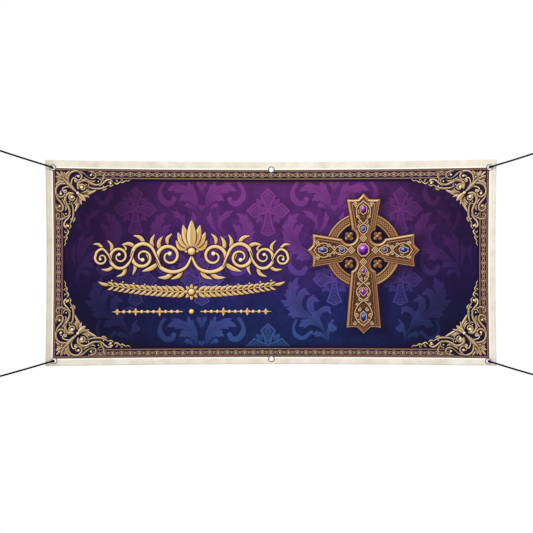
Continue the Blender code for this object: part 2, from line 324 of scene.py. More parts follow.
def make_dusk_group():
    """Darkens a colour towards the print's edges and corners, and round the cross."""
    group, tree, given, out = new_group("print_dusk", [("Color", COLOUR)], [("Color", COLOUR)])
    u, v = tree.split(tree.attribute("cut"))
    centre_u, centre_v = (FRAME_LEFT + FRAME_RIGHT) / 2.0, (FRAME_TOP + FRAME_BOTTOM) / 2.0
    side = tree.math("ABSOLUTE", tree.math("SUBTRACT", u, centre_u))
    dim_side = tree.math("ABSOLUTE", tree.math("SUBTRACT", u, centre_u + 13.0 * MODULE))
    rise = tree.math("ABSOLUTE", tree.math("SUBTRACT", v, centre_v))
    half_u, half_v = (FRAME_RIGHT - FRAME_LEFT) / 2.0, (FRAME_TOP - FRAME_BOTTOM) / 2.0
    # Edges of the print.
    from_side = tree.math("DIVIDE", dim_side, half_u)
    edge = tree.step(from_side, 0.22, 0.84)
    # The corners, on a superellipse.
    inward_u = tree.math("MAXIMUM", tree.math("SUBTRACT", half_u, side), 0.001)
    inward_v = tree.math("MAXIMUM", tree.math("SUBTRACT", half_v, rise), 0.001)
    corner = tree.math(
        "ADD",
        tree.math("POWER", tree.math("DIVIDE", inward_u, 84.0 * MODULE), 0.81),
        tree.math("POWER", tree.math("DIVIDE", inward_v, 84.0 * MODULE), 0.81),
    )
    corner = tree.math("SUBTRACT", 1.0, tree.step(corner, 0.80, 1.75))
    # The cross's painted shadow, below and to the right of it.
    shade_u = tree.math("ABSOLUTE", tree.math("SUBTRACT", u, CROSS_CENTRE[0] + 5.0 * MODULE))
    shade_v = tree.math("SUBTRACT", v, CROSS_CENTRE[1] - 3.0 * MODULE)
    square = tree.math("ADD", tree.math("POWER", shade_u, 2.0), tree.math("POWER", shade_v, 2.0))
    radius = tree.math("POWER", square, 0.5)
    ring = tree.math("SUBTRACT", radius, 35.0 * MODULE)
    upright = tree.math(
        "MAXIMUM",
        tree.math("SUBTRACT", shade_u, 15.0 * MODULE),
        tree.math("SUBTRACT", tree.math("ABSOLUTE", tree.math("ADD", shade_v, 13.0 * MODULE)), 67.0 * MODULE),
    )
    beam = tree.math(
        "MAXIMUM",
        tree.math("SUBTRACT", tree.math("ABSOLUTE", shade_v), 14.0 * MODULE),
        tree.math("SUBTRACT", shade_u, 52.0 * MODULE),
    )
    near = tree.math("MINIMUM", ring, tree.math("MINIMUM", upright, beam))
    shadow = tree.math("SUBTRACT", 1.0, tree.step(near, -2.0 * MODULE, 12.0 * MODULE))
    keep = tree.math("SUBTRACT", 1.0, tree.math("MULTIPLY", edge, 0.70))
    # A darker strip inside the frame.
    strip = tree.step(tree.math("MINIMUM", inward_u, inward_v), 10.0 * MODULE, 17.0 * MODULE)
    keep = tree.math("MULTIPLY", keep, tree.math("ADD", 0.55, tree.math("MULTIPLY", strip, 0.45)))
    keep = tree.math("MULTIPLY", keep, tree.math("SUBTRACT", 1.0, tree.math("MULTIPLY", corner, 0.60)))
    keep = tree.math("MULTIPLY", keep, tree.math("SUBTRACT", 1.0, tree.math("MULTIPLY", shadow, 0.72)))
    dark = (*srgb(19, 10, 40), 1.0)
    tree.feed(out[0], tree.blend(keep, dark, given[0]))
    return group


def make_skin_group():
    """The vinyl's skin: a scrim of fine threads under it, and small waves."""
    group, tree, _, out = new_group("vinyl_skin", [], [("Normal", VECTOR)])
    cut = tree.attribute("cut")
    u, v = tree.split(cut)
    threads = [
        tree.math("SINE", tree.math("MULTIPLY", place, 2.0 * math.pi / 0.0011)) for place in (u, v)
    ]
    scrim = tree.math("MULTIPLY", tree.math("ADD", *threads), 0.000006)
    wave = tree.math("MULTIPLY", tree.noise(cut, 9.0, 3.0, 0.5), 0.0035)
    dimple = tree.math("MULTIPLY", tree.noise(cut, 260.0, 2.0, 0.5), 0.00003)
    height = tree.math("ADD", tree.math("ADD", scrim, wave), dimple)
    bump = tree.add("ShaderNodeBump", {"Strength": 0.5, "Distance": 1.0, "Height": height})
    tree.feed(out[0], bump.outputs[0])
    return group


def finish_vinyl(tree, shader, skin, colour, roughness=0.46, specular=0.05):
    """Wires a colour into a satin vinyl shader."""
    grain = tree.noise(tree.attribute("cut"), 700.0, 2.0, 0.6)
    colour = tree.blend(
        0.10, colour, tree.ramp(grain, [(0.3, (0.0, 0.0, 0.0)), (0.7, (1.0, 1.0, 1.0))]), "OVERLAY"
    )
    tree.feed(shader.inputs["Base Color"], colour)
    gloss = tree.noise(tree.attribute("cut"), 14.0, 3.0, 0.6)
    spread = tree.math("ADD", roughness - 0.06, tree.math("MULTIPLY", gloss, 0.12))
    tree.feed(shader.inputs["Roughness"], spread)
    tree.feed(shader.inputs["Normal"], use_group(tree, skin)[0])
    shader.inputs["Specular IOR Level"].default_value = specular


def parchment(tree):
    """The unprinted-looking border: cream with faint brown mottling and fibres, and painted shade towards its
    left edge.
    """
    cut = tree.attribute("cut")
    u, v = tree.split(cut)
    cloud = tree.noise(cut, 11.0, 6.0, 0.62)
    fibres = [
        tree.noise(tree.join(tree.math("MULTIPLY", u, across), tree.math("MULTIPLY", v, up)), 1.0, 2.0)
        for across, up in ((900.0, 28.0), (28.0, 900.0))
    ]
    fibre = tree.math("MULTIPLY", tree.math("ADD", *fibres), 0.5)
    colour = tree.ramp(
        cloud,
        [
            (0.25, srgb(206, 193, 172)),
            (0.42, srgb(223, 214, 199)),
            (0.58, srgb(235, 229, 217)),
            (0.80, srgb(243, 239, 229)),
        ],
    )
    fade = tree.math("MULTIPLY", tree.step(fibre, 0.42, 0.62), 0.30)
    colour = tree.blend(fade, colour, (*srgb(210, 197, 176), 1.0))
    # Painted shade: the border darkens towards its left edge.
    left_shade = tree.math("MULTIPLY", tree.step(tree.math("MULTIPLY", u, -1.0), 0.84, 0.90), 0.42)
    return tree.blend(left_shade, colour, (*srgb(203, 187, 160), 1.0))


def make_face_material(groups):
    """The printed face: field, thin outer lines and the parchment border."""
    field, dusk, skin = groups
    made, tree, shader = new_material("vinyl_face")
    inside = use_group(tree, dusk, {0: use_group(tree, field)[0]})[0]
    u, v = tree.split(tree.attribute("cut"))
    inward = tree.math(
        "MINIMUM",
        tree.math("MINIMUM", tree.math("SUBTRACT", u, FRAME_LEFT), tree.math("SUBTRACT", FRAME_RIGHT, u)),
        tree.math("MINIMUM", tree.math("SUBTRACT", FRAME_TOP, v), tree.math("SUBTRACT", v, FRAME_BOTTOM)),
    )
    modules = tree.math("DIVIDE", inward, MODULE)
    border = parchment(tree)
    border = tree.blend(tree.step(modules, -1.75, -1.25), border, (*srgb(254, 254, 246), 1.0))
    border = tree.blend(tree.step(modules, -0.55, -0.15), border, (*srgb(120, 104, 98), 1.0))
    colour = tree.blend(tree.step(modules, -0.05, 0.05), border, inside)
    finish_vinyl(tree, shader, skin, colour)
    return made


def make_back_material(skin):
    """The unprinted back: white, with the scrim's threads showing through."""
    made, tree, shader = new_material("vinyl_back")
    cut = tree.attribute("cut")
    u, v = tree.split(cut)
    lines = [
        tree.step(tree.math("SINE", tree.math("MULTIPLY", place, 2.0 * math.pi / 0.0011)), 0.2, 0.95)
        for place in (u, v)
    ]
    threads = tree.math("MULTIPLY", tree.math("MAXIMUM", *lines), 0.22)
    cloud = tree.noise(cut, 6.0, 5.0, 0.6)
    colour = tree.ramp(cloud, [(0.3, srgb(226, 226, 224)), (0.7, srgb(240, 240, 238))])
    colour = tree.blend(threads, colour, (*srgb(203, 204, 206), 1.0))
    finish_vinyl(tree, shader, skin, colour, specular=0.3)
    return made


def make_hem_material(skin):
    """The hem's flap: the parchment print folded over, with a welded band."""
    made, tree, shader = new_material("vinyl_hem")
    finish_vinyl(tree, shader, skin, parchment(tree), specular=0.3)
    return made


def make_damask_material(groups):
    """Tone on tone leaves: a lighter tint of the field, brighter on its veins."""
    field, dusk, skin = groups
    made, tree, shader = new_material("ink_damask")
    ink = tree.add("ShaderNodeSeparateColor", {0: tree.attribute("ink", "Color")}).outputs
    _, v = tree.split(tree.attribute("cut"))
    down = tree.math("DIVIDE", tree.math("SUBTRACT", FRAME_TOP, v), FRAME_TOP - FRAME_BOTTOM)
    tint = tree.ramp(
        down,
        [
            (0.00, srgb(158, 74, 154)),
            (0.40, srgb(132, 66, 150)),
            (0.62, srgb(98, 82, 166)),
            (1.00, srgb(64, 110, 172)),
        ],
    )
    ground = use_group(tree, field)[0]
    colour = tree.blend(ink[0], ground, tint)
    finish_vinyl(tree, shader, skin, use_group(tree, dusk, {0: colour})[0])
    return made


def make_gold_material(skin):
    """Painted gold and bronze: the ink's own colours, a little tarnished."""
    made, tree, shader = new_material("ink_gold")
    colour = tree.attribute("ink", "Color")
    tarnish = tree.noise(tree.attribute("cut"), 150.0, 4.0, 0.7)
    worn = tree.blend(1.0, colour, (*srgb(196, 170, 150), 1.0), "MULTIPLY")
    colour = tree.blend(tree.math("MULTIPLY", tree.step(tarnish, 0.52, 0.78), 0.55), colour, worn)
    finish_vinyl(tree, shader, skin, colour)
    return made


def make_nickel_material():
    made, tree, shader = new_material("nickel_plate")
    place = tree.add("ShaderNodeTexCoord").outputs["Object"]
    worn = tree.noise(place, 420.0, 4.0, 0.65)
    colour = tree.ramp(worn, [(0.3, srgb(240, 240, 242)), (0.72, srgb(252, 252, 252))])
    x, _, z = tree.add("ShaderNodeSeparateXYZ", {0: place}).outputs
    out = tree.math("POWER", tree.math("ADD", tree.math("MULTIPLY", x, x), tree.math("MULTIPLY", z, z)), 0.5)
    # Painted shade: a near-black ring on the flange's outer edge, where it curves down to the cloth.
    edge = tree.math("MULTIPLY", tree.step(out, 0.0097, 0.0106), 0.99)
    colour = tree.blend(edge, colour, (*srgb(40, 34, 32), 1.0))
    tree.feed(shader.inputs["Base Color"], colour)
    tree.feed(
        shader.inputs["Roughness"], tree.math("ADD", 0.10, tree.math("MULTIPLY", worn, 0.16))
    )
    shader.inputs["Metallic"].default_value = 1.0
    scratch = tree.math("MULTIPLY", tree.noise(place, 900.0, 3.0), 0.00006)
    bump = tree.add("ShaderNodeBump", {"Strength": 0.6, "Distance": 1.0, "Height": scratch})
    tree.feed(shader.inputs["Normal"], bump.outputs[0])
    return made


def make_rope_material():
    """Black braided cord, with painted shade: darker in the grooves between its strands and a little lighter
    on their crowns.
    """
    made, tree, shader = new_material("braided_cord")
    crown = tree.attribute("crown", "Fac")
    place = tree.add("ShaderNodeTexCoord").outputs["Object"]
    fuzz = tree.noise(place, 1400.0, 3.0, 0.7)
    # Painted shade and highlight: near-black in the grooves between strands, a little lighter on their
    # crowns.
    colour = tree.ramp(crown, [(0.1, srgb(1, 1, 1)), (0.6, srgb(2, 2, 3)), (1.0, srgb(7, 7, 8))])
    colour = tree.blend(tree.math("MULTIPLY", fuzz, 0.35), colour, (*srgb(4, 4, 5), 1.0))
    tree.feed(shader.inputs["Base Color"], colour)
    shader.inputs["Roughness"].default_value = 0.8
    shader.inputs["Specular IOR Level"].default_value = 0.0
    height = tree.math("MULTIPLY", fuzz, 0.0002)
    bump = tree.add("ShaderNodeBump", {"Strength": 0.5, "Distance": 1.0, "Height": height})
    tree.feed(shader.inputs["Normal"], bump.outputs[0])
    return made


# Meshes.


def add_mesh(name, points, faces, material):
    mesh = bpy.data.meshes.new(name)
    mesh.from_pydata(np.asarray(points).tolist(), [], [list(face) for face in faces])
    mesh.materials.append(material)
    mesh.shade_smooth()
    obj = bpy.data.objects.new(name, mesh)
    bpy.context.scene.collection.objects.link(obj)
    return obj


def set_vectors(mesh, name, values):
    layer = mesh.attributes.new(name, "FLOAT_VECTOR", "POINT")
    layer.data.foreach_set("vector", np.asarray(values, np.float32).ravel())


def set_cut(mesh, u, v):
    """Keeps each point's place on the flat cut, for the nodes."""
    set_vectors(mesh, "cut", np.stack([u, v, np.zeros_like(u)], axis=-1))


def grid_faces(rows, columns):
    """Quads of a grid whose points run along each row in turn."""
    index = np.arange(rows * columns).reshape(rows, columns)
    return np.stack(
        [index[:-1, :-1], index[:-1, 1:], index[1:, 1:], index[1:, :-1]], axis=-1
    ).reshape(-1, 4)


class Canvas:
    """Gathers ink shapes on the flat cut, and makes them one mesh on the cloth."""

    def __init__(self, name, keep_in=None):
        self.name, self.keep_in = name, keep_in
        self.places, self.lifts, self.inks, self.faces = [], [], [], []
        self.count = 0
        self.next_lift = INK_LIFT

    def rise(self, layers=1.0):
        """Ink added after this lies higher."""
        self.next_lift += layers * LAYER

    def add(self, places, inks, faces, lift=0.0):
        places = np.asarray(places, float).reshape(-1, 2)
        inks = np.broadcast_to(np.asarray(inks, float), (len(places), 3))
        self.places.append(places)
        self.inks.append(inks)
        self.lifts.append(np.broadcast_to(self.next_lift + lift, len(places)))
        corners = places[np.asarray(faces)]
        ahead = np.roll(corners, -1, axis=1)
        area = (corners[..., 0] * ahead[..., 1] - corners[..., 1] * ahead[..., 0]).sum(axis=1)
        faces = np.asarray(faces) + self.count
        middles = corners.mean(axis=1)
        clear = np.ones(len(faces), bool)
        for _, centre_u, centre_v in EYELETS:
            clear &= np.hypot(*(middles - (centre_u, centre_v)).T) > INK_CLEAR
        corners, faces, area = corners[clear], faces[clear], area[clear]
        if self.keep_in is not None:
            low, high = self.keep_in
            inside = ((corners > low) & (corners < high)).all(axis=(1, 2))
            faces, area = faces[inside], area[inside]
        faces[area < 0.0] = faces[area < 0.0][:, ::-1]
        self.faces.extend(faces.tolist())
        self.count += len(places)

    def sheet(self, rows, inks, lift=0.0):
        """A grid of places, shaped (rows, columns, 2)."""
        rows = np.asarray(rows)
        inks = np.asarray(inks).reshape(-1, 3)
        lift = np.broadcast_to(np.asarray(lift), rows.shape[:2]).reshape(-1)
        self.add(rows, inks, grid_faces(*rows.shape[:2]), lift)

    def build(self, material, slot="printed_vinyl"):
        places = np.concatenate(self.places)
        points = hang(places[:, 0], places[:, 1], np.concatenate(self.lifts))
        obj = add_mesh(self.name, points, self.faces, material)
        set_cut(obj.data, places[:, 0], places[:, 1])
        inks = np.concatenate(self.inks)
        layer = obj.data.color_attributes.new("ink", "FLOAT_COLOR", "POINT")
        layer.data.foreach_set("color", np.column_stack([inks, np.ones(len(inks))]).ravel())
        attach(obj, "root")
        return obj


# Lines, ribbons and leaves, in metres on the flat cut.


def through(points, step=0.7):
    """A smooth line through these points, about a step apart."""
    points = np.asarray(points, float)
    padded = np.vstack([2.0 * points[0] - points[1], points, 2.0 * points[-1] - points[-2]])
    line = []
    for before, start, end, after in zip(padded, padded[1:], padded[2:], padded[3:]):
        count = max(2, int(np.linalg.norm(end - start) / step) + 1)
        t = np.arange(count)[:, None] / count
        lead, trail = (end - before) / 2.0, (after - start) / 2.0
        line.append(
            start
            + t * lead
            + t**2 * (3.0 * (end - start) - 2.0 * lead - trail)
            + t**3 * (2.0 * (start - end) + lead + trail)
        )
    return np.vstack(line + [points[-1:]])


def volute(start, centre, turns, inner=0.24):
    """A spiral from start in to its centre; positive turns run anticlockwise."""
    start, centre = np.asarray(start, float), np.asarray(centre, float)
    reach = np.linalg.norm(start - centre)
    angle = math.atan2(*(start - centre)[::-1])
    t = np.linspace(0.0, 1.0, max(12, int(abs(turns) * 26)))
    radius = reach * (1.0 - (1.0 - inner) * t**0.9)
    turn = angle + 2.0 * math.pi * turns * t
    return centre + np.stack([radius * np.cos(turn), radius * np.sin(turn)], axis=-1)


def sides(line, closed=False):
    """Each point's direction to the left, lengthened at a corner as a mitre is."""
    if closed:
        steps = np.roll(line, -1, axis=0) - line
        before, after = np.roll(steps, 1, axis=0), steps
    else:
        steps = np.diff(line, axis=0)
        before, after = np.vstack([steps[:1], steps]), np.vstack([steps, steps[-1:]])
    before = before / np.maximum(np.linalg.norm(before, axis=1, keepdims=True), 1e-12)
    after = after / np.maximum(np.linalg.norm(after, axis=1, keepdims=True), 1e-12)
    mean = before + after
    left = np.stack([-mean[:, 1], mean[:, 0]], axis=-1)
    agree = np.maximum(1.0 + (before * after).sum(axis=1, keepdims=True), 0.35)
    return left / agree


def metal(*colours):
    """A painted metal: brightness from 0 to 1 gives its colours, dark to light."""
    linear = np.array([srgb(*colour) for colour in colours])
    stops = np.linspace(0.0, 1.0, len(colours))

    def ink(brightness):
        return np.stack([np.interp(brightness, stops, channel) for channel in linear.T], axis=-1)

    return ink


def tint(strength):
    """Damask ink: brightness gives how strongly it covers the field."""

    def ink(brightness):
        return np.repeat(np.asarray(brightness)[..., None] * strength, 3, axis=-1)

    return ink


GOLD = metal((26, 10, 32), (80, 52, 48), (142, 108, 76), (220, 187, 132), (255, 240, 198))
PALE_GOLD = metal((72, 44, 28), (150, 106, 62), (208, 164, 100), (236, 204, 144), (254, 242, 210))
BRONZE = metal((24, 11, 17), (72, 43, 35), (130, 86, 56), (184, 136, 90), (248, 220, 170))
BROWN = metal((40, 20, 32), (88, 60, 50), (136, 102, 74), (172, 138, 104), (214, 188, 152))
LATTICE = metal((40, 18, 50), (82, 54, 58), (136, 104, 84), (182, 150, 114), (230, 208, 166))
PURPLE_STONE = metal((30, 4, 52), (74, 12, 112), (122, 32, 168), (186, 92, 226), (250, 226, 255))
BLUE_STONE = metal((7, 9, 44), (17, 29, 98), (30, 60, 162), (76, 124, 222), (220, 232, 255))
NIGHT = srgb(17, 8, 36)
DARK_EDGE = metal((17, 8, 34), (17, 8, 34))

CROSS_SECTION = np.array((-1.0, -0.62, 0.0, 0.62, 1.0))


def run_lengths(line):
    """How far along a line each of its points lies."""
    return np.concatenate([[0.0], np.cumsum(np.linalg.norm(np.diff(line, axis=0), axis=1))])


def resample(line, count):
    """count + 1 places evenly along a line."""
    run = run_lengths(line)
    even = np.linspace(0.0, run[-1], count + 1)
    return np.stack([np.interp(even, run, line[:, axis]) for axis in (0, 1)], axis=-1)


def ribbon(canvas, line, widths, ink, closed=False, base=0.62, emboss=0.34, rim=0.42, groove=0.0, lift=0.0):
    """A raised-looking band along a line. widths are at even places along it."""
    left = sides(line, closed)
    if closed:
        line, left = np.vstack([line, line[:1]]), np.vstack([left, left[:1]])
    run = run_lengths(line)
    half = np.interp(run / run[-1], np.linspace(0.0, 1.0, len(widths)), widths)[:, None, None] / 2.0
    q = CROSS_SECTION[None, :, None]
    rows = line[:, None, :] + left[:, None, :] * half * q
    lit = (left @ PAINTED_LIGHT)[:, None]
    q = CROSS_SECTION[None, :]
    light = base + emboss * q * lit - rim * q**4 - groove * np.exp(-((q / 0.3) ** 2))
    canvas.sheet(rows, ink(np.clip(light, 0.0, 1.0)), lift)


def plain_band(canvas, line, widths, ink, closed=False, lift=0.0):
    """A flat band of one ink along a line."""
    left = sides(line, closed)
    if closed:
        line, left = np.vstack([line, line[:1]]), np.vstack([left, left[:1]])
    run = run_lengths(line)
    half = np.interp(run / run[-1], np.linspace(0.0, 1.0, len(widths)), widths)[:, None, None] / 2.0
    cells = max(2, math.ceil(max(widths) / (1.6 * MODULE)))
    q = np.linspace(-1.0, 1.0, cells + 1)[None, :, None]
    rows = line[:, None, :] + left[:, None, :] * half * q
    canvas.sheet(rows, np.broadcast_to(ink, (*rows.shape[:2], 3)), lift)


def ball(canvas, centre, radius, ink, base=0.74, emboss=0.4, rim=0.5, lift=0.0):
    """A round bead, lit from the painted light."""
    rings, spokes = np.array((0.0, 0.5, 0.82, 1.0)), 14
    angle = np.arange(spokes + 1) * 2.0 * math.pi / spokes
    around = np.stack([np.cos(angle), np.sin(angle)], axis=-1)
    rows = np.asarray(centre) + radius * rings[:, None, None] * around[None]
    light = base + emboss * rings[:, None] * (around @ PAINTED_LIGHT)[None] - rim * rings[:, None] ** 4
    canvas.sheet(rows, ink(np.clip(light, 0.0, 1.0)), lift)


def leaf(canvas, points, width, ink, base=0.66, emboss=0.30, rim=0.30, vein=0.16, fade=0.1, full=0.72,
         lift=0.0, count=10):
    """A leaf along a line through these points, with a dark vein; a lower full makes it broader-based."""
    fine = through(points, np.linalg.norm(np.diff(points, axis=0), axis=1).max() / 6.0)
    line = resample(fine, count)
    left = sides(line)
    t = np.linspace(0.0, 1.0, count + 1)
    half = (width / 2.0 * (np.sin(np.pi * t**full) ** 0.8 + 0.02))[:, None, None]
    q = CROSS_SECTION[None, :, None]
    rows = line[:, None, :] + left[:, None, :] * half * q
    q = CROSS_SECTION[None, :]
    lit = (left @ PAINTED_LIGHT)[:, None]
    light = base + emboss * q * lit - rim * q**4 - vein * np.exp(-((q / 0.25) ** 2))
    light += fade * (t[:, None] - 0.5)
    canvas.sheet(rows, ink(np.clip(light, 0.0, 1.0)), lift)


def stroke(canvas, points, width, ink, teeth=True, lift=0.0, **looks):
    """A lobe of acanthus: narrow where it leaves its stem, broad and toothed at its tip."""
    looks = {"base": 0.64, "emboss": 0.04, "rim": 0.34, "vein": 0.26, "fade": 0.5, "full": 1.5, **looks}
    leaf(canvas, points, width, ink, lift=lift, count=14, **looks)
    if not teeth:
        return
    line = resample(through(points, MODULE), 20)
    left = sides(line)
    for side in (1.0, -1.0):
        tip = line[17] + side * left[17] * width * 0.66
        middle = line[14] + side * left[14] * width * 0.34
        leaf(canvas, [line[9], middle, tip], width * 0.5, ink, lift=lift - LAYER * 0.35, count=6, **looks)


def scroll(canvas, stem, centre, turns, widths, ink, end_ball, outline, lift, **looks):
    """A stem through these points that winds into a spiral about a centre, on a dark edge."""
    line = through(stem, MODULE * 0.8)
    if centre is not None:
        line = np.vstack([line[:-1], volute(stem[-1], centre, turns)])
    plain_band(canvas, line, np.asarray(widths) + 2.0 * outline, NIGHT, lift=lift - LAYER * 0.35)
    ribbon(canvas, line, widths, ink, lift=lift, **looks)
    if end_ball:
        ball(canvas, line[-1], end_ball, ink, base=0.98, rim=0.4, lift=lift + LAYER * 0.3)


def fill(canvas, outline, step, ink_at, lift=0.0):
    """Small cells over all the inside of an outline, whose edge a rim then covers."""
    low, high = outline.min(axis=0), outline.max(axis=0)
    columns, rows = (np.ceil((high - low) / step).astype(int) + 1)
    u = low[0] + step * np.arange(columns + 1)
    v = low[1] + step * np.arange(rows + 1)
    mid_u, mid_v = np.meshgrid((u[:-1] + u[1:]) / 2.0, (v[:-1] + v[1:]) / 2.0)
    inside = np.zeros(mid_u.shape, bool)
    for start, end in zip(outline, np.roll(outline, -1, axis=0)):
        crosses = (start[1] > mid_v) != (end[1] > mid_v)
        rise = end[1] - start[1] or 1e-12
        inside ^= crosses & (mid_u < start[0] + (mid_v - start[1]) * (end[0] - start[0]) / rise)
    places = np.stack(np.meshgrid(u, v), axis=-1).reshape(-1, 2)
    faces = grid_faces(len(v), len(u))[inside.ravel()]
    used, faces = np.unique(faces, return_inverse=True)
    canvas.add(places[used], ink_at(places[used]), faces.reshape(-1, 4), lift)


def nearest(outline, places):
    """How far each place lies from a closed outline, and the way to it."""
    apart = np.full(len(places), np.inf)
    way = np.zeros_like(places)
    for start, end in zip(outline, np.roll(outline, -1, axis=0)):
        span = end - start
        share = np.clip((places - start) @ span / max(span @ span, 1e-15), 0.0, 1.0)
        gap = start + share[:, None] * span - places
        length = np.linalg.norm(gap, axis=1)
        closer = length < apart
        apart[closer] = length[closer]
        way[closer] = gap[closer] / np.maximum(length[closer], 1e-12)[:, None]
    return apart, way


class Layout:
    """Turns places in modules, on one ornament's own axes, into places on the cut."""

    def __init__(self, origin, flip_u=1.0, flip_v=1.0, swap=False):
        self.origin, self.flip, self.swap = np.asarray(origin), np.array((flip_u, flip_v)), swap

    def __call__(self, points):
        points = np.asarray(points, float)
        if self.swap:
            points = points[..., ::-1]
        return self.origin + points * self.flip * MODULE

    @property
    def turn(self):
        """1 where a turn keeps its sense, and -1 where the layout mirrors it."""
        return float(np.prod(self.flip)) * (-1.0 if self.swap else 1.0)


# The camera, level with the banner's middle as in the photograph.

camera = bpy.data.objects.new("camera", bpy.data.cameras.new("camera"))
camera.location = (VIEW_CENTRE[0], -CAMERA_DISTANCE, VIEW_CENTRE[1])
camera.rotation_euler = (math.radians(90.0), 0.0, 0.0)
camera.data.sensor_width = SENSOR_WIDTH
camera.data.lens = SENSOR_WIDTH * CAMERA_DISTANCE / VIEW_WIDTH
camera.data.clip_end = 60.0
bpy.context.scene.collection.objects.link(camera)
bpy.context.scene.camera = camera
bpy.context.scene.view_settings.view_transform = "Standard"

# The ropes.

TUBE_SIDES = 28
TUBE_STEP = 0.0009
STRANDS = 8
STRAND_PITCH = 0.0165
STRAND_HEIGHT = 0.00026
KNOT_TURN = 0.0019
KNOT_DEPTH = 0.0030
KNOT_TUBE = 0.0034
INTO_KNOT = 0.0062


def smooth_route(points, step):
    """Points on a smooth curve through these points, about a step apart."""
    points = np.asarray(points, float)
    padded = np.vstack([points[:1], points, points[-1:]])
    route = []
    for before, start, end, after in zip(padded, padded[1:], padded[2:], padded[3:]):
        count = max(1, round(np.linalg.norm(end - start) / step))
        t = np.arange(count)[:, None] / count
        lead, trail = (end - before) / 2.0, (after - start) / 2.0
        route.append(
            start
            + t * lead
            + t**2 * (3.0 * (end - start) - 2.0 * lead - trail)
            + t**3 * (2.0 * (start - end) + lead + trail)
        )
    return np.vstack(route + [points[-1:]])


def even_route(route, step, closed=False):
    """The same curve in even steps."""
    if closed:
        route = np.vstack([route, route[:1]])
    run = np.concatenate([[0.0], np.cumsum(np.linalg.norm(np.diff(route, axis=0), axis=1))])
    even = np.linspace(0.0, run[-1], int(run[-1] / step) + 1)
    line = np.stack([np.interp(even, run, route[:, axis]) for axis in range(3)], axis=-1)
    return line[:-1] if closed else line


def braided_tube(name, route, radius, material, closed=False):
    """A cord whose surface has a braid's crossing strands, along an even route."""
    steps = np.roll(route, -1, axis=0) - np.roll(route, 1, axis=0) if closed else np.gradient(route, axis=0)
    steps /= np.linalg.norm(steps, axis=1, keepdims=True)
    side = np.cross(steps[0], (0.31, 0.87, 0.38))
    rows, crowns, run = [], [], 0.0
    angle = np.arange(TUBE_SIDES) * 2.0 * math.pi / TUBE_SIDES
    for index, (place, ahead) in enumerate(zip(route, steps)):
        side = side - ahead * np.dot(side, ahead)
        side /= np.linalg.norm(side)
        up = np.cross(ahead, side)
        if index:
            run += np.linalg.norm(place - route[index - 1])
        turn = 2.0 * math.pi * run / STRAND_PITCH
        one = np.abs(np.sin((angle + turn) * STRANDS / 2.0))
        other = np.abs(np.sin((angle - turn) * STRANDS / 2.0))
        over = np.sin(angle * STRANDS / 2.0) * np.sin(turn * STRANDS / 2.0) > 0.0
        crown = np.where(over, one, other) ** 0.6
        reach = radius - STRAND_HEIGHT + STRAND_HEIGHT * 1.6 * crown
        around = np.outer(np.cos(angle), side) + np.outer(np.sin(angle), up)
        rows.append(place + reach[:, None] * around)
        crowns.append(crown)
    rows = np.array(rows)
    count = len(rows)
    index = np.arange(count * TUBE_SIDES).reshape(count, TUBE_SIDES)
    if closed:
        index = np.vstack([index, index[:1]])
    index = np.hstack([index, index[:, :1]])
    faces = [index[:-1, :-1], index[:-1, 1:], index[1:, 1:], index[1:, :-1]]
    faces = np.stack(faces, axis=-1).reshape(-1, 4).tolist()
    if not closed:
        faces += [index[0, :-1][::-1].tolist(), index[-1, :-1].tolist()]
    cord = add_mesh(name, rows.reshape(-1, 3), faces, material)
    # Each strand's crown, kept for the cord's painted shade: lighter on crowns, darker in the grooves.
    layer = cord.data.attributes.new("crown", "FLOAT", "POINT")
    layer.data.foreach_set("value", np.array(crowns, np.float32).ravel())
    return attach(cord, "root")


def pull_frame(name, bearing):
    """An eyelet's centre, and the directions along and across its rope's pull."""
    u, v = next((u, v) for row, u, v in EYELETS if row == name)
    angle = math.radians(bearing)
    along = np.array((math.cos(angle), 0.0, math.sin(angle)))
    across = np.array((-math.sin(angle), 0.0, math.cos(angle)))
    return hang(u, v), along, across


def rope_points(centre, along, distance):
    """The places that a rope passes, from behind its eyelet to its end knot."""
    depth = np.array((0.0, 1.0, 0.0))
    points = [centre + along * out + depth * behind for out, behind in ROUTE_OUT]
    first, last = ROUTE_OUT[-1][0], distance - END_KNOT_HALF[0] - GAP
    for share, behind, sag in ROUTE_RUN:
        out = first + (last - first) * share
        points.append(centre + along * out + depth * behind - np.array((0.0, 0.0, sag)))
    return points


def knot_route(centre, along, across, half_along):
    """A tight overhand knot's closed line round a centre."""
    t = np.linspace(0.0, 2.0 * math.pi, 120, endpoint=False)
    grow = half_along / 0.0095
    out = KNOT_TURN * grow * (np.sin(t) + 2.0 * np.sin(2.0 * t))
    aside = KNOT_TURN * (np.cos(t) - 2.0 * np.cos(2.0 * t))
    depth = -KNOT_DEPTH * np.sin(3.0 * t)
    return centre + np.outer(out, along) + np.outer(aside, across) + np.outer(depth, (0.0, 1.0, 0.0))


def loop_route(centre, along, across):
    """A tied loop's line past its end knot."""
    half = [centre + along * out + across * aside for out, aside in LOOP_HALF]
    tip = [centre + along * LOOP_TIP[0]]
    back = [centre + along * out - across * aside for out, aside in reversed(LOOP_HALF)]
    return smooth_route(half + tip + back, 0.002)


def into_knots(route):
    """The same line, run straight on into the knots at its ends."""
    first = (route[0] - route[1]) / np.linalg.norm(route[0] - route[1])
    last = (route[-1] - route[-2]) / np.linalg.norm(route[-1] - route[-2])
    longer = np.vstack([route[0] + first * INTO_KNOT, route, route[-1] + last * INTO_KNOT])
    return even_route(longer, TUBE_STEP)


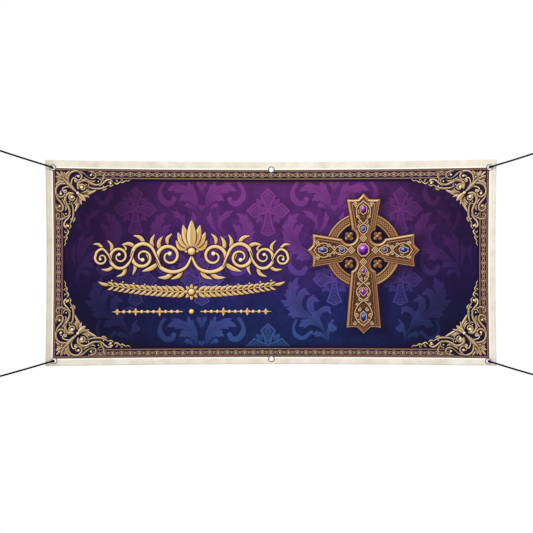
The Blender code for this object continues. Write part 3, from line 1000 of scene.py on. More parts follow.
def make_ropes(material):
    for name, bearing, distance in ROPES:
        centre, along, across = pull_frame(name, bearing)
        depth = np.array((0.0, 1.0, 0.0))
        route = smooth_route(rope_points(centre, along, distance), 0.004)
        stopper_centre = centre + along * STOPPER_PLACE[0] + depth * STOPPER_PLACE[1]
        knot_centre = centre + along * distance + depth * ROUTE_RUN[-1][1]
        rope_line = into_knots(route)
        rope = braided_tube("cord_" + name, rope_line, ROPE_DIAMETER / 2.0, material)
        stopper_line = even_route(
            knot_route(stopper_centre, along, across, STOPPER_HALF[0]), TUBE_STEP, closed=True
        )
        stopper = braided_tube("stop_knot_" + name, stopper_line, KNOT_TUBE, material, closed=True)
        knot_line = even_route(
            knot_route(knot_centre, along, across, END_KNOT_HALF[0]), TUBE_STEP, closed=True
        )
        knot = braided_tube("end_knot_" + name, knot_line, KNOT_TUBE, material, closed=True)
        loop_line = into_knots(loop_route(knot_centre, along, across))
        loop = braided_tube("tied_loop_" + name, loop_line, ROPE_DIAMETER / 2.0, material)
        for piece, node in ((rope, "rope_"), (stopper, "stopper_"), (knot, "knot_"), (loop, "loop_")):
            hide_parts(node + name)


# The cloth.

CLOTH_STEP = 0.0064
HEM_LINES = np.array((0.0, 6.0, 12.0, 18.0, 24.0, 30.0, 36.0, 42.0, 47.2, 48.0)) / 1000.0
CLOTH_THICKNESS = 0.0009
WELD_SINK = 0.00016
WELD_FROM, WELD_TO = 0.009, 0.039
EYELET_HOLE = 0.0078


def cloth_lines(first, last):
    """Where the cloth's cells meet, from one edge to the other; closer lines lie in the hems."""
    inner = last - first - 2.0 * HEM_WIDTH
    count = round(inner / CLOTH_STEP)
    between = first + HEM_WIDTH + inner * np.arange(1, count) / count
    return np.concatenate([first + HEM_LINES, between, last - HEM_LINES[::-1]])


def pierced_grid(only_hems=False):
    """Places and faces of the cloth's cells, with a round hole at each eyelet."""
    us = cloth_lines(-CUT_WIDTH / 2.0, CUT_WIDTH / 2.0)
    vs = cloth_lines(-CUT_HEIGHT, 0.0)
    places = np.stack(np.meshgrid(us, vs), axis=-1).reshape(-1, 2)
    columns, rows = len(us), len(vs)
    keep = np.ones((rows - 1, columns - 1), bool)
    if only_hems:
        hem = len(HEM_LINES) - 1
        keep[hem:-hem, hem:-hem] = False
    extra, faces = [], []
    for _, centre_u, centre_v in EYELETS:
        i, j = np.abs(us - centre_u).argmin(), np.abs(vs - centre_v).argmin()
        keep[j - 2:j + 2, i - 2:i + 2] = False
        corners = [(-2, -2), (2, -2), (2, 2), (-2, 2), (-2, -2)]
        border = []
        for (start_i, start_j), (end_i, end_j) in zip(corners, corners[1:]):
            for part in range(4):
                step_i = start_i + (end_i - start_i) * part // 4
                step_j = start_j + (end_j - start_j) * part // 4
                border.append((j + step_j) * columns + i + step_i)
        away = places[border] - (centre_u, centre_v)
        ring = (centre_u, centre_v) + EYELET_HOLE * away / np.linalg.norm(away, axis=1, keepdims=True)
        first = len(places) + 16 * len(extra)
        extra.append(ring)
        for part in range(16):
            after = (part + 1) % 16
            faces.append((border[part], border[after], first + after, first + part))
    faces = np.vstack([grid_faces(rows, columns)[keep.ravel()], faces])
    used, faces = np.unique(faces, return_inverse=True)
    return np.vstack([places, *extra])[used], faces.reshape(-1, 4)


def from_edge(places):
    """How far places on the cut lie from its nearest edge."""
    from_side = CUT_WIDTH / 2.0 - np.abs(places[:, 0])
    from_end = np.minimum(-places[:, 1], places[:, 1] + CUT_HEIGHT)
    return np.minimum(from_side, from_end)


def make_cloth(face, back):
    """The printed sheet, one piece with a hole at each eyelet."""
    places, faces = pierced_grid()
    sheet = add_mesh("printed_sheet", hang(places[:, 0], places[:, 1]), faces, face)
    sheet.data.materials.append(back)
    set_cut(sheet.data, places[:, 0], places[:, 1])
    thick = sheet.modifiers.new("thickness", "SOLIDIFY")
    thick.thickness = CLOTH_THICKNESS
    thick.offset = -1.0
    thick.material_offset = 1
    thick.material_offset_rim = 1
    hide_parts("banner_panel", "top_strip", "bottom_strip")
    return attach(sheet, "root")


def make_hem(material):
    """The hem folded behind the sheet on all four sides, with its sunken weld."""
    places, faces = pierced_grid(only_hems=True)
    apart = from_edge(places)
    behind = np.full(len(places), HEM_THICKNESS)
    behind[(apart > WELD_FROM) & (apart < WELD_TO)] -= WELD_SINK
    behind[apart > HEM_LINES[-1] - 0.0004] = CLOTH_THICKNESS - 0.00005
    hem = add_mesh(
        "folded_hem", hang(places[:, 0], places[:, 1], -behind), faces[:, ::-1], material
    )
    set_cut(hem.data, places[:, 0], places[:, 1])
    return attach(hem, "root")


def make_fold(material):
    """The rounded fold that runs round the sheet's edge."""
    us = cloth_lines(-CUT_WIDTH / 2.0, CUT_WIDTH / 2.0)
    vs = cloth_lines(-CUT_HEIGHT, 0.0)
    loop = [(u, vs[0]) for u in us[:-1]] + [(us[-1], v) for v in vs[:-1]]
    loop += [(u, vs[-1]) for u in us[:0:-1]] + [(us[0], v) for v in vs[:0:-1]]
    loop = np.array(loop)
    out = np.zeros_like(loop)
    out[:, 0] = np.where(loop[:, 0] == us[0], -1.0, np.where(loop[:, 0] == us[-1], 1.0, 0.0))
    out[:, 1] = np.where(loop[:, 1] == vs[0], -1.0, np.where(loop[:, 1] == vs[-1], 1.0, 0.0))
    turns = np.linspace(-math.pi / 2.0, math.pi / 2.0, 9)
    rows = []
    for turn in turns:
        grown = loop + out * HEM_THICKNESS * 0.45 * math.cos(turn)
        behind = HEM_THICKNESS / 2.0 * (1.0 + 1.03 * math.sin(turn))
        rows.append(hang(grown[:, 0], grown[:, 1], -behind))
    rows = np.array([np.vstack([row, row[:1]]) for row in rows])
    fold = add_mesh(
        "folded_edge", rows.reshape(-1, 3), grid_faces(*rows.shape[:2])[:, ::-1], material
    )
    around = np.vstack([loop, loop[:1]])
    around = np.tile(around, (len(turns), 1))
    set_cut(fold.data, around[:, 0], around[:, 1])
    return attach(fold, "root")


# The eyelets.

EYELET_STEPS = 56
EYELET_PROFILE = [
    # radius, height towards the viewer, in millimetres
    (6.50, -2.60), (6.50, 1.00), (6.62, 1.45), (6.95, 1.85), (7.60, 2.12), (8.60, 2.20), (10.00, 2.12),
    (11.30, 1.86), (12.30, 1.42), (12.85, 0.92), (13.00, 0.50), (12.94, 0.22), (12.60, 0.12), (7.30, 0.12),
    (7.30, -2.10), (12.40, -2.10), (12.50, -2.25), (12.48, -2.72), (12.30, -2.88), (9.60, -2.94),
    (9.10, -3.20), (8.50, -3.52), (7.80, -3.62), (7.10, -3.50), (6.66, -3.15), (6.50, -2.60),
]


def make_eyelets(material):
    profile = np.array(EYELET_PROFILE) / 1000.0
    angle = np.arange(EYELET_STEPS + 1) * 2.0 * math.pi / EYELET_STEPS
    radius, height = profile[:, 0][:, None], profile[:, 1][:, None]
    forward = np.broadcast_to(-height, (len(profile), len(angle)))
    rows = np.stack([radius * np.cos(angle), forward, radius * np.sin(angle)], axis=-1)
    faces = grid_faces(*rows.shape[:2])[:, ::-1]
    for name, u, v in EYELETS:
        ring = add_mesh("ring_" + name, rows.reshape(-1, 3), faces, material)
        ring.location = hang(u, v)
        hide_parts("eyelet_" + name)
        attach(ring, "root")


# The print's frame: two gold lines with interlace between them.

LINE_STEP = 1.6
BRAID_MIDDLE = 5.2
BRAID_SWING = 2.05
BRAID_EYE = 8.9
BRAID_STRAND = 0.62
INNER_LINE = 9.3
CORNER_ALONG, CORNER_DOWN = 42.0, 41.0


def frame_sides():
    """Each side of the print's frame: start, end, the way in, its corner, how deep and how bright it is."""
    left_top, right_top = np.array((FRAME_LEFT, FRAME_TOP)), np.array((FRAME_RIGHT, FRAME_TOP))
    left_foot, right_foot = np.array((FRAME_LEFT, FRAME_BOTTOM)), np.array((FRAME_RIGHT, FRAME_BOTTOM))
    return [
        (left_top, right_top, np.array((0.0, -1.0)), CORNER_ALONG, 0.97, 0.80),
        (left_foot, right_foot, np.array((0.0, 1.0)), CORNER_ALONG, 0.86, 0.70),
        (left_foot, left_top, np.array((1.0, 0.0)), CORNER_DOWN, 0.89, 0.73),
        (right_foot, right_top, np.array((-1.0, 0.0)), CORNER_DOWN, 0.89, 0.73),
    ]


def frame_rectangle(inset):
    """The frame's rectangle, inset by some modules, in small steps."""
    inset *= MODULE
    left, right = FRAME_LEFT + inset, FRAME_RIGHT - inset
    top, foot = FRAME_TOP - inset, FRAME_BOTTOM + inset
    corners = np.array(((left, foot), (right, foot), (right, top), (left, top), (left, foot)))
    parts = []
    for start, end in zip(corners, corners[1:]):
        count = int(np.linalg.norm(end - start) / (LINE_STEP * MODULE))
        parts.append(start + (end - start) * np.arange(count)[:, None] / count)
    return np.vstack(parts)


def draw_frame(canvas):
    canvas.rise(44.0)
    plain_band(canvas, frame_rectangle(4.9), np.array((9.8, 9.8)) * MODULE, srgb(33, 13, 54), closed=True)
    canvas.rise()
    plain_band(canvas, frame_rectangle(1.1), np.array((2.2, 2.2)) * MODULE, srgb(62, 36, 48), closed=True)
    canvas.rise()
    ribbon(
        canvas, frame_rectangle(1.15), np.array((1.4, 1.4)) * MODULE, BROWN, closed=True,
        base=0.50, emboss=0.10, rim=0.30,
    )
    canvas.rise()
    for start, end, inward, corner, deep, shine in frame_sides():
        length = np.linalg.norm(end - start)
        ahead = (end - start) / length
        first, last = (corner - 4.0) * MODULE, length - (corner - 4.0) * MODULE
        run = np.arange(first, last, LINE_STEP * MODULE)
        line = start + ahead * run[:, None] + inward * INNER_LINE * deep * MODULE
        shade = line + inward * 0.7 * MODULE
        plain_band(canvas, shade, np.array((3.8, 3.8)) * MODULE, srgb(26, 10, 40))
        ribbon(
            canvas, line, np.array((1.0, 1.0)) * MODULE, BROWN, base=0.64, emboss=0.14, rim=0.34, lift=LAYER
        )
        run = np.arange(first, last, 0.6 * MODULE)
        eyes = round((last - first) / (BRAID_EYE * MODULE))
        eye = (last - first) / eyes
        phase = math.pi * (run - first) / eye
        for sign in (1.0, -1.0):
            aside = deep * (BRAID_MIDDLE + sign * BRAID_SWING * np.sin(phase))
            line = start + ahead * run[:, None] + inward * (aside * MODULE)[:, None]
            over = sign * np.cos(phase) * LAYER * 0.5
            ribbon(
                canvas, line, np.array((BRAID_STRAND, BRAID_STRAND)) * MODULE, LATTICE, base=shine,
                emboss=0.16, rim=0.5, lift=(over + LAYER)[:, None],
            )
        for part in range(eyes):
            middle = start + ahead * (first + (part + 0.5) * eye) + inward * BRAID_MIDDLE * deep * MODULE
            draw_eye(canvas, middle, ahead, inward, 1.0 if part % 2 else -1.0)
            knot = middle + ahead * eye / 2.0
            for sign in (1.0, -1.0):
                tip = knot + sign * inward * 2.1 * MODULE
                leaf(
                    canvas, [knot, (knot + tip) / 2.0, tip], 1.1 * MODULE, LATTICE, base=0.66,
                    lift=LAYER * (2.2 + 0.3 * sign), count=4,
                )


def draw_eye(canvas, middle, ahead, inward, way):
    """A bead with a curl round it, in one eye of the braid."""
    turn = np.linspace(-0.9, 1.15, 12) * math.pi
    radius = np.linspace(1.2, 2.3, 12)[:, None] * MODULE
    reach = np.cos(turn)[:, None] * ahead * way + np.sin(turn)[:, None] * inward * 0.62 * way
    widths = np.array((0.4, 0.5, 0.3)) * MODULE
    ribbon(canvas, middle + radius * reach, widths, LATTICE, base=0.74, rim=0.4, lift=LAYER * 2.6)
    ball(canvas, middle, 0.62 * MODULE, LATTICE, base=1.0, emboss=0.1, rim=0.2, lift=LAYER * 3.0)


# The corners' scrolls, in modules along and down from the frame's corner.

CORNER_SCROLLS = [
    # stem, centre of its spiral, turns, widths, end bead
    ([(45.0, 9.4), (48.4, 11.6), (47.4, 15.0), (43.0, 16.2), (38.0, 14.6), (33.4, 12.0), (28.6, 12.4),
      (25.0, 15.6), (25.4, 20.6)], (29.4, 19.3), 1.15, (1.0, 1.8, 2.8, 3.2, 3.0, 2.6, 1.9, 1.6), 1.6),
    ([(34.0, 17.6), (38.4, 19.4), (44.4, 20.0), (50.0, 19.2), (55.4, 16.6)], None, 0.0,
     (0.8, 2.0, 2.4, 2.2, 0.9), 0.0),
    ([(46.4, 17.2), (50.0, 14.4), (53.6, 11.2), (57.4, 10.6), (59.8, 12.6)],
     (58.0, 14.0), -0.55, (0.8, 1.6, 2.0, 1.8, 1.3), 1.1),
    ([(17.6, 18.0), (15.2, 12.0), (16.4, 6.0), (20.4, 3.0), (25.4, 2.8), (28.6, 6.2)],
     (24.8, 8.4), 0.95, (1.2, 2.2, 2.6, 2.6, 2.2, 1.5, 1.0), 1.2),
    ([(19.4, 18.2), (18.4, 13.6), (20.2, 9.6), (23.0, 10.2)],
     (22.4, 12.2), 0.9, (0.8, 1.4, 1.5, 1.1, 0.8), 0.8),
    ([(26.4, 2.6), (30.4, 4.2), (34.6, 7.8), (38.6, 9.8), (42.4, 8.6), (42.8, 5.2), (39.6, 2.7), (35.2, 2.6)],
     (37.4, 5.6), 0.5, (0.8, 2.2, 2.4, 2.0, 1.7, 1.5, 1.4, 1.0), 1.0),
    ([(30.6, 8.4), (33.0, 10.4), (36.0, 11.4)], None, 0.0, (0.5, 1.4, 0.6), 0.0),
    ([(61.0, 13.4), (63.4, 14.9), (66.0, 13.6), (68.0, 11.4)], None, 0.0, (0.7, 1.7, 1.4, 0.6), 0.0),
    ([(67.0, 12.4), (69.2, 13.5), (71.6, 12.2), (73.6, 10.6)], None, 0.0, (0.6, 1.4, 1.1, 0.5), 0.0),
    ([(72.6, 11.4), (75.0, 11.8), (77.6, 10.4)], None, 0.0, (0.5, 1.1, 0.4), 0.0),
]
CORNER_LEAVES = [
    # points, width
    ([(12.6, 12.0), (8.6, 8.2), (3.6, 3.2)], 2.8),
    ([(12.4, 11.0), (10.8, 7.0), (8.0, 2.6)], 2.4),
    ([(13.4, 11.6), (13.2, 7.2), (11.2, 3.4)], 1.9),
    ([(14.6, 8.6), (14.2, 5.2), (17.0, 2.4)], 2.0),
    ([(10.0, 11.4), (6.4, 9.0), (2.8, 7.6)], 1.6),
    ([(27.6, 25.6), (32.6, 26.2), (37.4, 24.2), (44.2, 20.9)], 3.0),
    ([(27.8, 24.8), (33.0, 24.2), (37.4, 21.4)], 2.0),
    ([(28.6, 24.2), (32.6, 23.2), (35.6, 19.6)], 1.5),
    ([(28.0, 26.4), (33.0, 27.4), (36.2, 28.6)], 2.4),
    ([(33.0, 19.6), (35.6, 17.6), (35.0, 14.8)], 1.2),
    ([(47.0, 19.4), (50.6, 21.2), (54.0, 19.2)], 1.5),
    ([(48.4, 10.4), (50.8, 8.2), (50.6, 5.2)], 1.4),
    ([(50.6, 13.0), (49.8, 10.0), (52.0, 8.6)], 1.2),
    ([(54.4, 16.0), (58.0, 17.2), (60.8, 15.2)], 1.3),
    ([(63.6, 14.0), (64.4, 11.6), (62.2, 10.6)], 1.1),
    ([(69.0, 12.8), (69.4, 10.8), (67.6, 10.0)], 0.9),
    ([(30.0, 10.0), (28.6, 8.4), (30.4, 6.4)], 1.2),
    ([(36.0, 11.4), (39.8, 12.8), (42.6, 11.4)], 1.4),
    ([(44.4, 4.6), (47.0, 2.8), (50.0, 3.2)], 1.1),
]
CORNER_BEADS = [(13.2, 8.8, 0.7), (33.2, 16.2, 0.6), (50.6, 17.4, 0.6), (45.4, 12.6, 0.7), (56.0, 13.2, 0.5)]
CORNER_SPINES = [
    # points from the middle bead outwards, width
    ([(24.0, 24.0), (18.0, 16.4), (11.4, 10.8)], 1.6),
    ([(24.0, 24.0), (16.4, 18.0), (10.8, 11.4)], 1.6),
    ([(24.4, 24.4), (16.6, 16.6), (8.4, 8.4)], 2.0),
    ([(25.8, 25.0), (29.8, 27.2), (33.8, 28.2)], 2.8),
    ([(25.0, 25.8), (27.2, 29.8), (28.2, 33.8)], 2.8),
    ([(25.4, 25.4), (28.8, 28.8), (32.4, 32.4)], 4.6),
]


def draw_corner(canvas, origin, flip_u, flip_v):
    for swap in (False, True):
        place = Layout(origin, flip_u, flip_v, swap)
        own = LAYER * (0.4 if swap else 0.0)
        for index, (points, width) in enumerate(CORNER_LEAVES):
            line = place(points)
            above = own + LAYER * 0.8 * index
            leaf(canvas, line, (width + 1.1) * MODULE, DARK_EDGE, lift=above - LAYER * 0.4)
            leaf(
                canvas, line, width * MODULE, GOLD, base=0.82, emboss=0.36, vein=0.40, rim=0.42,
                fade=0.36, lift=above,
            )
        for index, (stem, centre, turns, widths, bead) in enumerate(CORNER_SCROLLS):
            middle = None if centre is None else place(centre)
            scroll(
                canvas, place(stem), middle, turns * place.turn, 0.76 * np.array(widths) * MODULE, GOLD,
                end_ball=bead * MODULE, outline=0.6 * MODULE, base=0.82, emboss=0.36, rim=0.50,
                groove=0.42 if max(widths) > 2.3 else 0.0, lift=own + LAYER * (16.0 + 0.8 * index),
            )
        for along, down, radius in CORNER_BEADS:
            ball(canvas, place((along, down)), radius * MODULE, GOLD, base=0.96, lift=own + LAYER * 26.0)
    place = Layout(origin, flip_u, flip_v)
    for index, (points, width) in enumerate(CORNER_SPINES):
        outlined_leaf(
            canvas, place(points), width * MODULE, GOLD, base=0.84, emboss=0.24, vein=0.36, edge=0.5,
            lift=LAYER * (27.0 + index),
        )
    ball(canvas, place((24.6, 24.6)), 1.5 * MODULE, GOLD, base=0.96, lift=LAYER * 32.0)


def draw_corners(canvas):
    for u, flip_u in ((FRAME_LEFT, 1.0), (FRAME_RIGHT, -1.0)):
        for v, flip_v in ((FRAME_TOP, -1.0), (FRAME_BOTTOM, 1.0)):
            draw_corner(canvas, (u, v), flip_u, flip_v)


# The gold ornament at the left: scrolls and leaves round a palmette, above a swag.

PALMETTE = [
    # bearing from upright in degrees, length, width
    (0.0, 33.0, 9.6),
    (17.0, 29.5, 7.6),
    (34.0, 25.0, 6.8),
    (52.0, 20.0, 6.0),
]
ORNAMENT_SCROLLS = [
    # stem, centre of its spiral, turns, widths, end bead
    ([(0.0, 9.0), (5.0, -1.0), (12.0, -5.5), (21.0, -6.5), (30.5, -2.5), (34.6, 7.0)],
     (22.4, 9.0), 1.30, (2.6, 4.4, 5.2, 5.0, 4.2, 3.2, 2.2), 2.6),
    ([(31.0, -1.6), (35.5, 9.0), (40.5, 18.4), (48.6, 21.8), (57.0, 18.0), (60.2, 9.0)],
     (49.0, 8.2), -1.25, (1.4, 3.6, 4.8, 4.8, 4.0, 3.0, 2.0), 2.4),
    ([(58.0, 14.6), (62.0, 4.0), (68.0, -2.2), (75.0, -2.6), (80.8, 2.6), (81.6, 9.6)],
     (72.4, 8.8), 1.20, (1.2, 3.2, 4.2, 4.0, 3.2, 2.4, 1.6), 2.0),
    ([(80.6, 3.6), (84.4, 11.4), (89.4, 16.2), (95.0, 13.6), (97.2, 7.4)],
     (90.6, 6.8), -1.10, (1.0, 2.6, 3.4, 3.0, 2.2, 1.4), 1.6),
    ([(0.0, 12.0), (6.8, 15.0), (10.6, 21.4)],
     (5.6, 22.4), 1.10, (2.0, 3.4, 3.0, 2.2, 1.4), 1.6),
]
ORNAMENT_LEAVES = [
    # points, width
    ([(18.0, -6.0), (25.0, -12.0), (34.0, -12.4)], 5.4),
    ([(9.0, -4.2), (13.0, -11.0), (21.0, -14.0)], 4.8),
    ([(33.4, 2.0), (41.0, -3.2), (50.0, -6.2)], 5.6),
    ([(31.6, 14.6), (33.0, 22.6), (29.0, 29.8)], 5.0),
    ([(24.0, 21.2), (24.4, 27.0), (19.4, 32.4)], 4.2),
    ([(38.6, 16.6), (40.2, 24.6), (37.0, 31.6)], 4.6),
    ([(47.0, 21.6), (51.6, 28.0), (58.6, 30.2)], 4.8),
    ([(56.0, 18.2), (63.0, 21.8), (70.4, 20.6)], 4.6),
    ([(60.4, 7.0), (56.6, -2.0), (59.4, -9.8)], 4.4),
    ([(66.0, -1.4), (68.6, -8.6), (75.6, -11.6)], 4.4),
    ([(77.6, -0.6), (84.0, -4.6), (91.0, -4.0)], 4.0),
    ([(81.4, 12.0), (80.2, 19.6), (84.8, 25.6)], 3.8),
    ([(88.6, 16.4), (93.4, 21.0), (99.4, 21.2)], 3.4),
    ([(46.0, 12.4), (42.8, 6.6), (45.4, 1.4)], 3.0),
    ([(69.0, 12.6), (66.0, 17.0), (69.2, 20.6)], 2.6),
]
SWAG_RISE = -27.0
SWAG_SAG = 7.0
SWAG_REACH = 84.0
RULE_HEIGHT = -47.0


def outlined_leaf(canvas, line, width, ink, lift=0.0, edge=0.9, **looks):
    """A leaf on a dark edge."""
    leaf(canvas, line, width + 2.0 * edge * MODULE, DARK_EDGE, lift=lift - LAYER * 0.6)
    leaf(canvas, line, width, ink, lift=lift, **looks)


def draw_swag(canvas, place):
    """A leafy swag from the middle outwards, with a berry between its leaves."""
    out = np.linspace(4.0, SWAG_REACH, 60)
    line = place(np.stack([out, SWAG_RISE + SWAG_SAG * (out / SWAG_REACH) ** 2], axis=-1))
    plain_band(canvas, line, np.array((2.4, 2.0)) * MODULE, NIGHT)
    ribbon(canvas, line, np.array((1.5, 1.0)) * MODULE, PALE_GOLD, lift=LAYER)
    for index in range(14):
        start = 7.0 + 5.5 * index
        rise = SWAG_RISE + SWAG_SAG * (start / SWAG_REACH) ** 2
        size = 1.0 - 0.28 * index / 13.0
        for side in (1.0, -1.0):
            points = [
                (start, rise + 0.5 * side),
                (start + 3.6 * size, rise + 3.9 * side * size),
                (start + 8.4 * size, rise + 5.3 * side * size),
            ]
            outlined_leaf(
                canvas, place(points), 3.1 * size * MODULE, PALE_GOLD,
                lift=LAYER * (2.0 + 1.2 * index + 0.5 * side), edge=0.7, base=0.70, vein=0.22,
            )
        if index % 2:
            ball(canvas, place((start + 1.6, rise + 5.4)), 0.9 * MODULE, PALE_GOLD, lift=LAYER * 2.0)
    tip = SWAG_REACH - 1.0
    outlined_leaf(
        canvas, place([(tip, SWAG_RISE + SWAG_SAG), (tip + 6.0, SWAG_RISE + SWAG_SAG + 1.0),
                       (tip + 11.0, SWAG_RISE + SWAG_SAG + 3.4)]), 3.2 * MODULE, PALE_GOLD, lift=LAYER * 2.0
    )


def draw_rule(canvas, place):
    """A beaded rule under the swag, with a lozenge at each third."""
    out = np.linspace(9.0, 80.0, 50)
    line = place(np.stack([out, np.full_like(out, RULE_HEIGHT)], axis=-1))
    plain_band(canvas, line, np.array((2.6, 2.6)) * MODULE, NIGHT)
    ribbon(canvas, line, np.array((1.2, 1.2, 0.5)) * MODULE, PALE_GOLD, lift=LAYER)
    for start in (14.0, 20.0, 26.0, 38.0, 44.0, 50.0, 62.0, 68.0):
        ball(canvas, place((start, RULE_HEIGHT)), 1.7 * MODULE, PALE_GOLD, lift=LAYER * 2.0)
    for start, size in ((32.0, 3.6), (56.0, 3.2), (74.5, 2.6)):
        for way in ((0.0, 1.0), (0.0, -1.0)):
            points = np.array(((start, RULE_HEIGHT), (start, RULE_HEIGHT + way[1] * size * 0.6),
                               (start, RULE_HEIGHT + way[1] * size * 1.2)))
            outlined_leaf(canvas, place(points), 2.3 * MODULE, PALE_GOLD, lift=LAYER * 2.2, edge=0.5)
        for way in (1.0, -1.0):
            points = np.array(((start, RULE_HEIGHT), (start + way * size * 0.7, RULE_HEIGHT),
                               (start + way * size * 1.3, RULE_HEIGHT)))
            outlined_leaf(canvas, place(points), 2.0 * MODULE, PALE_GOLD, lift=LAYER * 2.4, edge=0.5)


def draw_ornament(canvas):
    for flip in (1.0, -1.0):
        place = Layout(ORNAMENT_CENTRE, flip, 1.0)
        for index, (points, width) in enumerate(ORNAMENT_LEAVES):
            outlined_leaf(
                canvas, place(points), 0.78 * width * MODULE, PALE_GOLD, lift=LAYER * (0.6 + 1.2 * index),
                base=0.72, emboss=0.26, vein=0.20,
            )
        for index, (stem, centre, turns, widths, bead) in enumerate(ORNAMENT_SCROLLS):
            scroll(
                canvas, place(stem), place(centre), turns * place.turn, 0.74 * np.array(widths) * MODULE,
                PALE_GOLD, end_ball=0.8 * bead * MODULE, outline=0.8 * MODULE,
                base=0.74, emboss=0.30, rim=0.44,
                lift=LAYER * (21.0 + 1.2 * index),
            )
        for bearing, length, width in reversed(PALMETTE[0 if flip > 0.0 else 1:]):
            angle = math.radians(bearing)
            way = np.array((math.sin(angle), math.cos(angle)))
            side = np.array((way[1], -way[0]))
            points = np.array((way * 6.0, way * length * 0.62 + side * bearing * 0.05, way * length))
            points[:, 1] += 13.0
            outlined_leaf(
                canvas, place(points), width * MODULE, PALE_GOLD,
                lift=LAYER * (36.0 - 0.1 * bearing + 0.4 * flip), base=0.76, emboss=0.28, vein=0.34,
            )
        draw_swag(canvas, place)
        draw_rule(canvas, place)
    place = Layout(ORNAMENT_CENTRE)
    for centre, radius in (((0.0, 14.0), 4.0), ((0.0, SWAG_RISE), 3.4), ((0.0, RULE_HEIGHT), 2.6)):
        ball(canvas, place(centre), (radius + 0.9) * MODULE, DARK_EDGE, lift=LAYER * 40.0)
        ball(canvas, place(centre), radius * MODULE, PALE_GOLD, lift=LAYER * 41.0)
    for turn in range(8):
        angle = turn * math.pi / 4.0
        way = np.array((math.cos(angle), math.sin(angle)))
        points = np.array((0.0, SWAG_RISE)) + np.outer((3.0, 5.6, 8.2), way)
        outlined_leaf(canvas, place(points), 3.4 * MODULE, PALE_GOLD, lift=LAYER * (24.0 + turn), edge=0.7)


# The ringed cross, in modules from its centre.

RING_MIDDLE, RING_BREADTH = 33.2, 9.6
BITE_CENTRE, BITE_RADIUS = (14.4, 14.0), 8.0
TOP_SIDE = [(0.0, 57.4), (2.6, 54.2), (5.2, 51.5), (10.0, 51.1), (16.3, 51.4), (13.6, 36.0), (11.2, 22.0)]
SIDE_SIDE = [(22.4, 11.2), (36.0, 13.6), (50.7, 16.0), (50.2, 10.0), (50.6, 5.3), (53.0, 2.7), (55.8, 0.0)]
FOOT_SIDE = [
    (11.9, -22.0), (14.4, -50.0), (16.6, -78.0), (11.0, -77.4), (6.6, -77.6), (3.2, -80.6), (0.0, -83.8),
]
CROSS_GEMS = [
    # across, up, half width, half height, sides, blue, bezel
    (0.0, 0.0, 5.2, 5.8, 8, False, 1.5),
    (0.0, 41.2, 3.2, 4.8, 6, False, 1.1),
    (0.0, 21.4, 2.3, 2.6, 6, True, 0.8),
    (40.6, 0.0, 4.6, 2.7, 6, True, 1.1),
    (-40.6, 0.0, 4.6, 2.7, 6, True, 1.1),
    (21.4, 0.0, 2.8, 2.2, 6, True, 0.8),
    (-21.4, 0.0, 2.8, 2.2, 6, True, 0.8),
    (0.0, -21.2, 2.5, 3.0, 4, False, 0.8),
    (0.0, -42.4, 3.8, 4.0, 4, False, 1.1),
    (0.0, -68.0, 2.9, 5.2, 6, True, 1.1),
]


def arc(centre, radius, first, last, count):
    angle = np.radians(np.linspace(first, last, count))
    return np.asarray(centre) + radius * np.stack([np.cos(angle), np.sin(angle)], axis=-1)


def cross_outline():
    """The cross's outline, clockwise from its top tip, in modules."""
    bite = arc(BITE_CENTRE, BITE_RADIUS, 111.0, 339.0, 22)
    low_bite = bite[::-1] * (1.0, -1.0)
    low_side = np.array(SIDE_SIDE)[-2::-1] * (1.0, -1.0)
    right = np.vstack([TOP_SIDE, bite, SIDE_SIDE, low_side, low_bite, FOOT_SIDE])
    left = right[-2:0:-1] * (-1.0, 1.0)
    return np.vstack([right, left])


def subdivide(outline, step=1.5):
    """Adds points along a closed outline's long spans, and keeps its corners."""
    parts = []
    for start, end in zip(outline, np.roll(outline, -1, axis=0)):
        count = max(1, math.ceil(np.linalg.norm(end - start) / step))
        parts.append(start + (end - start) * np.arange(count)[:, None] / count)
    return np.vstack(parts)


def gem(canvas, place, centre, half_width, half_height, count, ink, lift, chance):
    """A cut stone: two rings of facets round a bright table."""
    offset = math.pi / 2.0 if count in (4, 6) else math.pi / 8.0
    angle = offset + np.arange(count) * 2.0 * math.pi / count
    around = np.stack([np.cos(angle) * half_width, np.sin(angle) * half_height], axis=-1)
    for low, high, shine in ((1.0, 0.70, 0.0), (0.70, 0.36, 0.14)):
        for part in range(count):
            after = (part + 1) % count
            corners = [around[part] * low, around[after] * low, around[after] * high, around[part] * high]
            corners = place(np.asarray(centre) + np.array(corners))
            facing = (around[part] + around[after]) / np.linalg.norm(around[part] + around[after])
            light = 0.30 + shine + 0.34 * float(facing @ PAINTED_LIGHT) + chance.uniform(-0.16, 0.16)
            canvas.add(corners, ink(np.clip(light, 0.0, 1.0)), [(0, 1, 2, 3)], lift)
    table = place(np.asarray(centre) + around * 0.36)
    canvas.add(table, ink(0.52), [tuple(range(count))], lift)
    spark = place(np.asarray(centre) + PAINTED_LIGHT * 0.44 * min(half_width, half_height))
    white = metal((246, 226, 255), (246, 226, 255))
    ball(canvas, spark, 0.17 * min(half_width, half_height) * MODULE, white, lift=lift + LAYER * 0.5)


def filigree(canvas, line, width=0.8, lift=0.0):
    """A thin raised thread of gold."""
    plain_band(canvas, line, np.full(2, width + 0.9) * MODULE, srgb(34, 18, 24), lift=lift - LAYER * 0.4)
    ribbon(canvas, line, np.full(2, width) * MODULE, BRONZE, base=0.93, emboss=0.14, rim=0.34, lift=lift)


